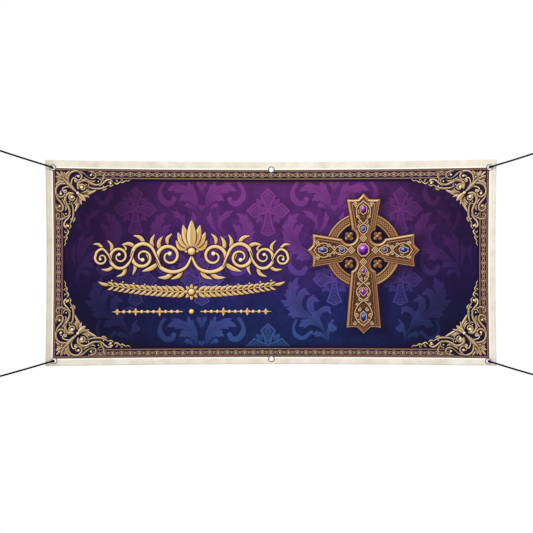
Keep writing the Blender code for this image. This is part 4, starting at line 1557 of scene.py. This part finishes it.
def twine(canvas, place, half_at, nodes, way, lift):
    """Two threads that cross at these distances along an arm, as wide as the arm lets them."""
    for side in (1.0, -1.0):
        points, sign = [], side
        for start, end in zip(nodes, nodes[1:]):
            for share, reach in ((0.0, 0.0), (0.2, 0.66), (0.5, 1.0), (0.8, 0.66)):
                along = start + (end - start) * share
                points.append(along * way[0] + sign * reach * half_at(along) * way[1])
            sign = -sign
        points.append(nodes[-1] * way[0])
        filigree(canvas, through(place(points), MODULE * 0.7), lift=lift + LAYER * 0.25 * (side + 1.0))


def curl(canvas, place, centre, start, radius, turns, lift):
    """A small spiral that winds in from one bearing."""
    first = np.asarray(centre) + radius * np.array((math.cos(start), math.sin(start)))
    line = place(volute(first, centre, turns, 0.18))
    filigree(canvas, line, 0.7, lift)
    ball(canvas, line[-1], 0.6 * MODULE, BRONZE, base=0.95, lift=lift + LAYER * 0.3)


# Each arm of the cross: its way out and its side, where it starts and ends,
# the plate's half width there inside the rims, and where its threads cross.
CROSS_ARMS = [
    (((0.0, 1.0), (1.0, 0.0)), (20.0, 51.0), (5.6, 11.0), (15.5, 27.0, 49.5)),
    (((1.0, 0.0), (0.0, 1.0)), (20.0, 50.0), (5.6, 10.6), (15.5, 29.0, 49.5)),
    (((-1.0, 0.0), (0.0, 1.0)), (20.0, 50.0), (5.6, 10.6), (15.5, 29.0, 49.5)),
    (((0.0, -1.0), (1.0, 0.0)), (20.0, 78.0), (6.2, 12.0), (15.5, 33.0, 51.0, 76.5)),
]
RIM_PROFILE = [
    # distance from the edge, plain light, light by the way it faces
    (0.0, 0.32, 0.10), (0.35, 0.56, 0.38), (1.0, 0.66, 0.34), (1.6, 0.60, 0.16), (2.2, 0.47, -0.12),
    (2.7, 0.38, -0.18), (3.0, 0.10, 0.0), (3.5, 0.10, 0.0), (3.8, 0.74, 0.10), (4.2, 0.74, -0.10),
    (4.5, 0.14, 0.0), (5.2, 0.22, 0.0), (9.0, 0.24, 0.0),
]


def draw_ring(canvas, place):
    circle = arc((0.0, 0.0), 1.0, 0.0, 360.0, 181)[:-1]
    dark = srgb(20, 11, 36)
    fill(canvas, place(circle * 30.0), MODULE * 1.4, lambda places: np.broadcast_to(dark, (len(places), 3)))
    canvas.rise()
    around = place(circle * RING_MIDDLE)
    plain_band(canvas, around, np.full(2, RING_BREADTH + 1.6) * MODULE, srgb(26, 12, 30), closed=True)
    canvas.rise()
    plain_band(canvas, around, np.full(2, RING_BREADTH) * MODULE, BRONZE(0.16), closed=True)
    canvas.rise()
    turn = np.linspace(0.0, 2.0 * math.pi, 720, endpoint=False)
    for strand in range(3):
        reach = RING_MIDDLE + 1.8 * np.sin(turn * 25.0 + strand * 2.0 * math.pi / 3.0)
        line = place(np.stack([reach * np.cos(turn), reach * np.sin(turn)], axis=-1))
        ribbon(canvas, line, np.full(2, 0.95) * MODULE, BRONZE, closed=True, base=0.66, rim=0.5,
               lift=LAYER * 0.3 * strand)
    canvas.rise()
    for radius, breadth in ((RING_MIDDLE - 3.9, 1.9), (RING_MIDDLE + 3.7, 2.3)):
        ribbon(
            canvas, place(circle * radius), np.full(2, breadth) * MODULE, BRONZE, closed=True,
            base=0.66, emboss=0.42, rim=0.40,
        )
    canvas.rise()


def draw_knots(canvas, place):
    """A small lozenge knot between the middle stone and each arm."""
    for way in ((0.0, 1.0), (0.0, -1.0), (1.0, 0.0), (-1.0, 0.0)):
        middle = np.array(way) * 12.0
        for size, width in ((3.5, 0.9), (1.5, 0.8)):
            corners = middle + size * np.array(((1.0, 0.0), (0.0, 1.0), (-1.0, 0.0), (0.0, -1.0), (1.0, 0.0)))
            lozenge = place(subdivide(corners[:-1], 0.8))
            plain_band(canvas, lozenge, np.full(2, width + 1.1) * MODULE, srgb(34, 18, 24), closed=True)
            ribbon(canvas, lozenge, np.full(2, width) * MODULE, BRONZE, closed=True, base=0.88, emboss=0.2,
                   rim=0.34, lift=LAYER * 0.6)


def draw_quatrefoils(canvas, place):
    for side in (1.0, -1.0):
        for rise in (1.0, -1.0):
            centre = np.array((side * BITE_CENTRE[0], rise * BITE_CENTRE[1]))
            for quarter in range(4):
                angle = math.pi / 4.0 + quarter * math.pi / 2.0
                way = np.array((math.cos(angle), math.sin(angle)))
                outlined_leaf(
                    canvas, place(centre + np.outer((0.4, 2.6, 5.0), way)), 4.2 * MODULE, BRONZE,
                    base=0.60, emboss=0.36, vein=0.2, edge=0.4, full=1.3,
                )
            ball(canvas, place(centre), 1.5 * MODULE, BRONZE, lift=LAYER * 0.8)
    canvas.rise()


def draw_plate(canvas, place):
    """The arms' plate: a bevelled rim, a groove and a thin inner line round its ground."""
    outline = place(subdivide(cross_outline()))
    plain_band(canvas, outline, np.full(2, 2.2) * MODULE, srgb(28, 13, 28), closed=True)
    canvas.rise()
    stops = np.array(RIM_PROFILE)

    def plate_at(places):
        apart, way = nearest(outline, places)
        apart = apart / MODULE
        lit = way @ PAINTED_LIGHT
        light = np.interp(apart, stops[:, 0], stops[:, 1]) + np.interp(apart, stops[:, 0], stops[:, 2]) * lit
        across, up = np.abs((places - CROSS_CENTRE).T / MODULE)
        net = np.cos(1.15 * across + 1.1 * np.sin(0.8 * up)) * np.cos(1.15 * up + 1.1 * np.sin(0.8 * across))
        thread = np.exp(-((net / 0.30) ** 2)) - 0.35
        light += 0.40 * thread * np.clip((apart - 4.7) / 0.5, 0.0, 1.0)
        light *= 1.06 - 0.20 * np.clip((57.0 - (places[:, 1] - CROSS_CENTRE[1]) / MODULE) / 140.0, 0.0, 1.0)
        return BRONZE(np.clip(light, 0.0, 1.0))

    fill(canvas, outline, MODULE * 0.45, plate_at)
    canvas.rise()
    ribbon(canvas, outline, np.full(2, 1.0) * MODULE, BRONZE, closed=True, base=0.62, emboss=-0.30, rim=0.10)
    canvas.rise()


def draw_cross(canvas):
    chance = random.Random(11)
    place = Layout(CROSS_CENTRE)
    draw_ring(canvas, place)
    draw_quatrefoils(canvas, place)
    draw_plate(canvas, place)
    draw_knots(canvas, place)
    canvas.rise(2.0)
    for (ahead, aside), (first, last), (narrow, wide), nodes in CROSS_ARMS:
        way = np.array((ahead, aside))

        def half_at(along):
            return narrow + (wide - narrow) * np.clip((along - first) / (last - first), 0.0, 1.0)

        twine(canvas, place, lambda along: 0.86 * half_at(along) - 0.4, nodes, way, 0.0)
        for index, along in enumerate(np.arange(first + 4.0, last - 3.0, 5.2)):
            half = half_at(along)
            radius = min(2.2, 0.30 * half)
            for side in (1.0, -1.0):
                centre = along * way[0] + side * (half * (0.40 if index % 2 else 0.66)) * way[1]
                turns = 1.15 * side * (1.0 if index % 2 else -1.0) * (1.0 if way[0][1] else -1.0)
                start = math.atan2(*(-way[0] if index % 2 else way[0])[::-1])
                curl(canvas, place, centre, start, radius, turns, -LAYER * 0.8)
        for side in (1.0, -1.0):
            centre = (last - 3.4) * way[0] + side * (wide - 2.9) * way[1]
            curl(canvas, place, centre, math.atan2(*(-way[0])[::-1]), 2.2, side, -LAYER * 0.6)
    canvas.rise(2.5)
    for across, up, half_width, half_height, count, blue, bezel in CROSS_GEMS:
        offset = math.pi / 2.0 if count in (4, 6) else math.pi / 8.0
        angle = offset + np.arange(count) * 2.0 * math.pi / count
        around = np.array((half_width, half_height)) + bezel * 0.5
        around = around * np.stack([np.cos(angle), np.sin(angle)], axis=-1)
        rim = place(np.array((across, up)) + subdivide(around[::-1], 1.0))
        plain_band(canvas, rim, np.full(2, bezel + 1.4) * MODULE, srgb(34, 17, 22), closed=True)
        ribbon(canvas, rim, np.full(2, bezel) * MODULE, BRONZE, closed=True, base=0.78, emboss=0.30,
               rim=0.3, lift=LAYER)
        gem(canvas, place, (across, up), half_width, half_height, count,
            BLUE_STONE if blue else PURPLE_STONE, LAYER * 0.5, chance)


# The damask, in modules from the top of the frame at the banner's middle.

DAMASK_MIDDLE = (-0.0122, FRAME_TOP)
DAMASK_UNITS = (66.5, 199.5)
LOW_FRONDS_DOWN = 138.0
LOW_SPRAY_MIRROR = 98.5
FAINT_CROSSES = [(0.0, 41.3), (133.2, 40.2), (66.5, 111.7), (133.2, 111.7), (0.0, 178.8)]
FROND_STROKES = [
    # points out from the unit's middle and down, width
    ([(4.9, 41.0), (5.6, 31.0), (10.0, 25.0), (17.4, 20.0), (27.0, 18.0), (35.0, 21.5)], 8.4),
    ([(4.4, 41.0), (5.2, 31.0), (8.4, 23.0), (11.8, 17.0), (14.0, 10.0)], 5.4),
    ([(5.6, 40.0), (8.2, 33.0), (13.0, 29.0), (18.0, 28.4), (22.6, 31.4)], 5.6),
    ([(6.8, 41.0), (10.2, 37.6), (13.6, 35.8), (17.4, 36.6)], 3.8),
    ([(1.0, 24.0), (1.6, 17.0), (4.6, 11.0)], 3.6),
    ([(0.6, 43.0), (1.2, 39.0), (2.6, 35.6)], 2.6),
]
SPRAY_STROKES = [
    ([(11.0, 122.0), (7.2, 112.0), (9.0, 101.0), (17.0, 91.0), (27.0, 83.0), (36.0, 75.0)], 3.6),
    ([(24.8, 85.0), (36.0, 78.0), (45.0, 70.0), (53.0, 61.6)], 6.0),
    ([(22.0, 87.0), (34.0, 80.6), (44.0, 75.8), (51.5, 70.6)], 5.4),
    ([(18.0, 90.0), (30.0, 85.0), (40.0, 82.4), (47.5, 79.4)], 5.2),
    ([(13.0, 96.0), (22.0, 90.0), (31.0, 87.8), (39.0, 91.0)], 6.6),
    ([(8.0, 104.0), (13.6, 97.6), (20.0, 96.4), (24.8, 99.6)], 4.6),
    ([(7.2, 110.0), (10.6, 104.0), (15.6, 103.6), (19.6, 107.4)], 3.8),
    ([(30.0, 80.0), (38.0, 70.0), (37.0, 61.0), (30.6, 55.0)], 5.4),
    ([(32.0, 80.0), (42.0, 68.0), (44.0, 56.0), (40.0, 47.0), (34.5, 44.5)], 7.0),
    ([(35.0, 78.0), (45.0, 68.0), (49.0, 58.0), (48.0, 51.0)], 4.6),
    ([(9.0, 100.0), (11.4, 86.0), (16.4, 77.0), (24.5, 66.0)], 5.8),
    ([(8.6, 98.0), (8.6, 85.0), (11.0, 75.0), (14.0, 64.5)], 5.2),
    ([(8.0, 102.0), (4.6, 92.0), (3.0, 83.0), (6.0, 75.0)], 4.0),
    ([(24.0, 66.0), (18.6, 59.0), (19.0, 51.0), (26.0, 44.5), (32.0, 41.0)], 4.4),
    ([(20.0, 68.0), (12.0, 59.0), (8.0, 50.0), (9.0, 42.0)], 4.2),
    ([(18.0, 62.0), (17.0, 56.0), (19.0, 50.0), (17.0, 45.0)], 3.0),
]
LOW_STROKES = [
    ([(60.8, 174.0), (54.0, 160.6), (45.0, 152.6), (35.6, 144.8), (28.0, 137.6)], 3.8),
    ([(40.0, 148.6), (29.0, 139.0), (24.4, 128.0), (25.6, 118.0), (30.4, 108.6)], 8.0),
    ([(34.0, 143.6), (24.0, 133.4), (18.5, 121.0)], 5.6),
    ([(38.0, 147.0), (26.0, 138.6), (12.6, 132.6)], 5.8),
    ([(41.0, 149.6), (28.6, 143.4), (18.0, 140.6)], 4.6),
    ([(47.0, 154.0), (33.0, 147.4), (19.4, 147.0)], 5.8),
    ([(55.0, 161.6), (42.6, 154.6), (30.6, 159.0)], 6.4),
    ([(41.0, 149.0), (32.0, 138.6), (32.0, 129.0), (36.6, 124.4), (42.6, 127.4)], 6.8),
    ([(52.0, 158.6), (45.6, 147.0), (42.0, 138.0), (44.6, 131.6), (51.6, 133.6)], 7.4),
    ([(54.0, 160.0), (50.6, 150.6), (53.0, 143.6), (59.4, 141.4), (63.6, 147.0)], 5.4),
    ([(57.0, 165.0), (52.6, 156.0), (47.0, 148.4), (49.4, 142.6)], 4.4),
    ([(59.6, 173.0), (53.0, 167.4), (44.6, 167.0)], 4.6),
    ([(60.6, 174.0), (60.0, 166.0), (64.0, 159.6), (69.0, 160.4)], 4.4),
]
CURLS = [
    # points, widest; out from the unit's middle and down
    ([(36.6, 12.0), (41.0, 19.0), (41.6, 26.6), (36.6, 33.4), (30.4, 33.6), (28.0, 29.6)], 6.2),
    ([(43.6, 84.0), (45.0, 95.0), (40.0, 103.4), (32.6, 104.6), (28.8, 100.0)], 6.2),
]
LOW_CURLS = [
    ([(28.6, 152.0), (25.6, 160.0), (27.6, 167.6), (35.0, 171.0), (43.4, 165.0)], 4.4),
    ([(66.0, 152.0), (61.6, 158.0), (64.0, 163.0), (67.4, 161.6)], 3.6),
]
DAMASK = tint(0.62)
FAINT = tint(0.62)


def draw_strokes(canvas, place, strokes, above):
    for index, (points, width) in enumerate(strokes):
        stroke(canvas, place(points), width * MODULE, DAMASK, lift=above + LAYER * 1.4 * index)


def draw_curls(canvas, place, curls):
    """C-shaped curls with a blunt end."""
    for points, widest in curls:
        line = through(place(points), MODULE * 1.2)
        ribbon(
            canvas, line, np.array((0.6, 0.62, 1.0, 0.95, 0.8)) * widest * MODULE, DAMASK, base=0.74,
            emboss=0.05, rim=0.34, groove=0.14, lift=LAYER * 23.0,
        )
        ball(
            canvas, line[-1], 0.44 * widest * MODULE, DAMASK, base=0.80, emboss=0.05, rim=0.3,
            lift=LAYER * 23.4,
        )


FAINT_ARMS = [
    # way out, tip, shoulder
    ((0.0, -1.0), 22.3, 15.2),
    ((0.0, 1.0), 25.8, 22.0),
    ((1.0, 0.0), 21.2, 13.6),
    ((-1.0, 0.0), 21.2, 13.6),
]


def draw_faint_cross(canvas, place):
    """A small cross with flared, pointed arms: pale lines round a lattice."""
    for part, (way, tip, shoulder) in enumerate(FAINT_ARMS):
        way = np.array(way)
        side = np.array((-way[1], way[0]))
        right = [(2.0, 2.0), (shoulder * 0.35, 2.9), (shoulder * 0.66, 4.3), (shoulder, 7.2), (tip, 0.0)]
        outline = [along * way + aside * side for along, aside in right]
        outline += [along * way - aside * side for along, aside in reversed(right[:-1])]
        closed = subdivide(np.array(outline), 1.4)
        above = LAYER * 2.8 * part
        fill(canvas, place(closed), MODULE * 1.2, lambda at: np.full((len(at), 3), 0.10), above)
        for scale, light in ((1.0, 0.96), (0.70, 0.56)):
            middle = way * (shoulder * 0.62)
            line = place(middle + (closed - middle) * scale)
            ribbon(canvas, line, np.full(2, 1.25 * scale) * MODULE, FAINT, closed=True, base=light,
                   emboss=0.0, rim=0.30, lift=above + LAYER * 0.7)
        for cross_line in range(6):
            along = 4.0 + (tip - 8.0) * cross_line / 5.0
            wide = 1.0 + 3.4 * (along / shoulder) ** 2 if along < shoulder else 2.2
            for index, turn in enumerate((1.0, -1.0)):
                points = [along * way - turn * wide * side, (along + 2.4) * way + turn * wide * side]
                ribbon(canvas, through(place(points), MODULE), np.full(2, 0.7) * MODULE, FAINT, base=0.72,
                       emboss=0.0, rim=0.3, lift=above + LAYER * (1.4 + 0.35 * index))
    ball(canvas, place((0.0, 0.0)), 2.2 * MODULE, FAINT, base=0.9, emboss=0.0, lift=LAYER * 12.0)
    for corner in range(4):
        angle = math.pi / 4.0 + corner * math.pi / 2.0
        way = np.array((math.cos(angle), math.sin(angle)))
        turned = np.array((-way[1], way[0]))
        for index, bend in enumerate((-0.8, 0.8, 0.0)):
            tip = way * (17.0 - 5.0 * abs(bend)) + turned * bend * 5.6
            middle = way * 10.8 + turned * bend * 2.4
            stroke(
                canvas, place([way * 7.4, middle, tip]), (3.0 if bend else 4.2) * MODULE, DAMASK,
                teeth=False, lift=LAYER * (13.0 + 0.4 * index), fade=0.3,
            )


def draw_damask(canvas):
    for flip in (1.0, -1.0):
        for unit in DAMASK_UNITS:
            middle = (DAMASK_MIDDLE[0] + flip * unit * MODULE, DAMASK_MIDDLE[1])
            for side in (1.0, -1.0):
                own = LAYER * (0.7 if side > 0.0 else 0.0)
                place = Layout(middle, side, -1.0)
                draw_strokes(canvas, place, FROND_STROKES, own)
                draw_strokes(canvas, place, SPRAY_STROKES, own)
                draw_curls(canvas, place, CURLS)
                if unit == DAMASK_UNITS[0] and flip < 0.0:
                    lower = Layout((middle[0], middle[1] - LOW_FRONDS_DOWN * MODULE), side, -1.0)
                    draw_strokes(canvas, lower, FROND_STROKES, own + LAYER * 0.35)
                    draw_curls(canvas, lower, CURLS[:1])
        place = Layout(DAMASK_MIDDLE, flip, -1.0)
        mirror = Layout(place((2.0 * LOW_SPRAY_MIRROR, 0.0)), -flip, -1.0)
        for index, low in enumerate((place, mirror) if flip > 0.0 else (mirror,)):
            draw_strokes(canvas, low, LOW_STROKES, LAYER * (0.35 + 0.7 * index))
            draw_curls(canvas, low, LOW_CURLS)
    canvas.rise(24.0)
    for flip in (1.0, -1.0):
        place = Layout(DAMASK_MIDDLE, flip, -1.0)
        for across, down in FAINT_CROSSES:
            if across or flip > 0.0:
                draw_faint_cross(canvas, Layout(place((across, down)), flip, -1.0))


# The stage and its light.

FLOOR_HEIGHT = -1.60
FLOOR = [(-6.0, -7.0), (6.0, -7.0), (6.0, 0.42), (-6.0, 0.42)]


def make_stage():
    points = [(x, y, FLOOR_HEIGHT) for x, y in FLOOR]
    mesh = bpy.data.meshes.new("floor")
    mesh.from_pydata(points, [], [(0, 1, 2, 3)])
    made, _, shader = new_material("floor")
    shader.inputs["Base Color"].default_value = (0.86, 0.86, 0.86, 1.0)
    shader.inputs["Roughness"].default_value = 0.9
    mesh.materials.append(made)
    floor = bpy.data.objects.new("floor", mesh)
    bpy.context.scene.collection.objects.link(floor)

    world = bpy.data.worlds.new("studio")
    world.use_nodes = True
    background = world.node_tree.nodes["Background"]
    background.inputs["Color"].default_value = (1.0, 1.0, 1.0, 1.0)
    background.inputs["Strength"].default_value = 1.0
    bpy.context.scene.world = world

    lamp = bpy.data.lights.new("key", "AREA")
    lamp.energy = 90.0
    lamp.shape = "RECTANGLE"
    lamp.size, lamp.size_y = 2.2, 1.4
    key = bpy.data.objects.new("key", lamp)
    key.location = (1.2, -3.7, 2.6)
    towards = Vector((0.0, 0.0, -0.4)) - Vector(key.location)
    key.rotation_euler = towards.to_track_quat("-Z", "Y").to_euler()
    bpy.context.scene.collection.objects.link(key)


# Build.

make_ropes(make_rope_material())
skin = make_skin_group()
groups = (make_field_group(), make_dusk_group(), skin)
printed = make_cloth(make_face_material(groups), make_back_material(skin))
hem_material = make_hem_material(skin)
hem = make_hem(hem_material)
fold = make_fold(hem_material)
make_eyelets(make_nickel_material())

print_edge = 10.0 * MODULE
low = (FRAME_LEFT + print_edge, FRAME_BOTTOM + print_edge)
high = (FRAME_RIGHT - print_edge, FRAME_TOP - print_edge)
damask = Canvas("damask_print", keep_in=(low, high))
draw_damask(damask)
border = Canvas("border_print")
draw_frame(border)
corners = Canvas("corner_print")
corners.rise(52.0)
draw_corners(corners)
ornament = Canvas("ornament_print")
ornament.rise(42.0)
draw_ornament(ornament)
cross = Canvas("cross_print")
cross.rise(42.0)
draw_cross(cross)
gold = make_gold_material(skin)
prints = [damask.build(make_damask_material(groups))]
prints += [canvas.build(gold) for canvas in (border, corners, ornament, cross)]

make_stage()
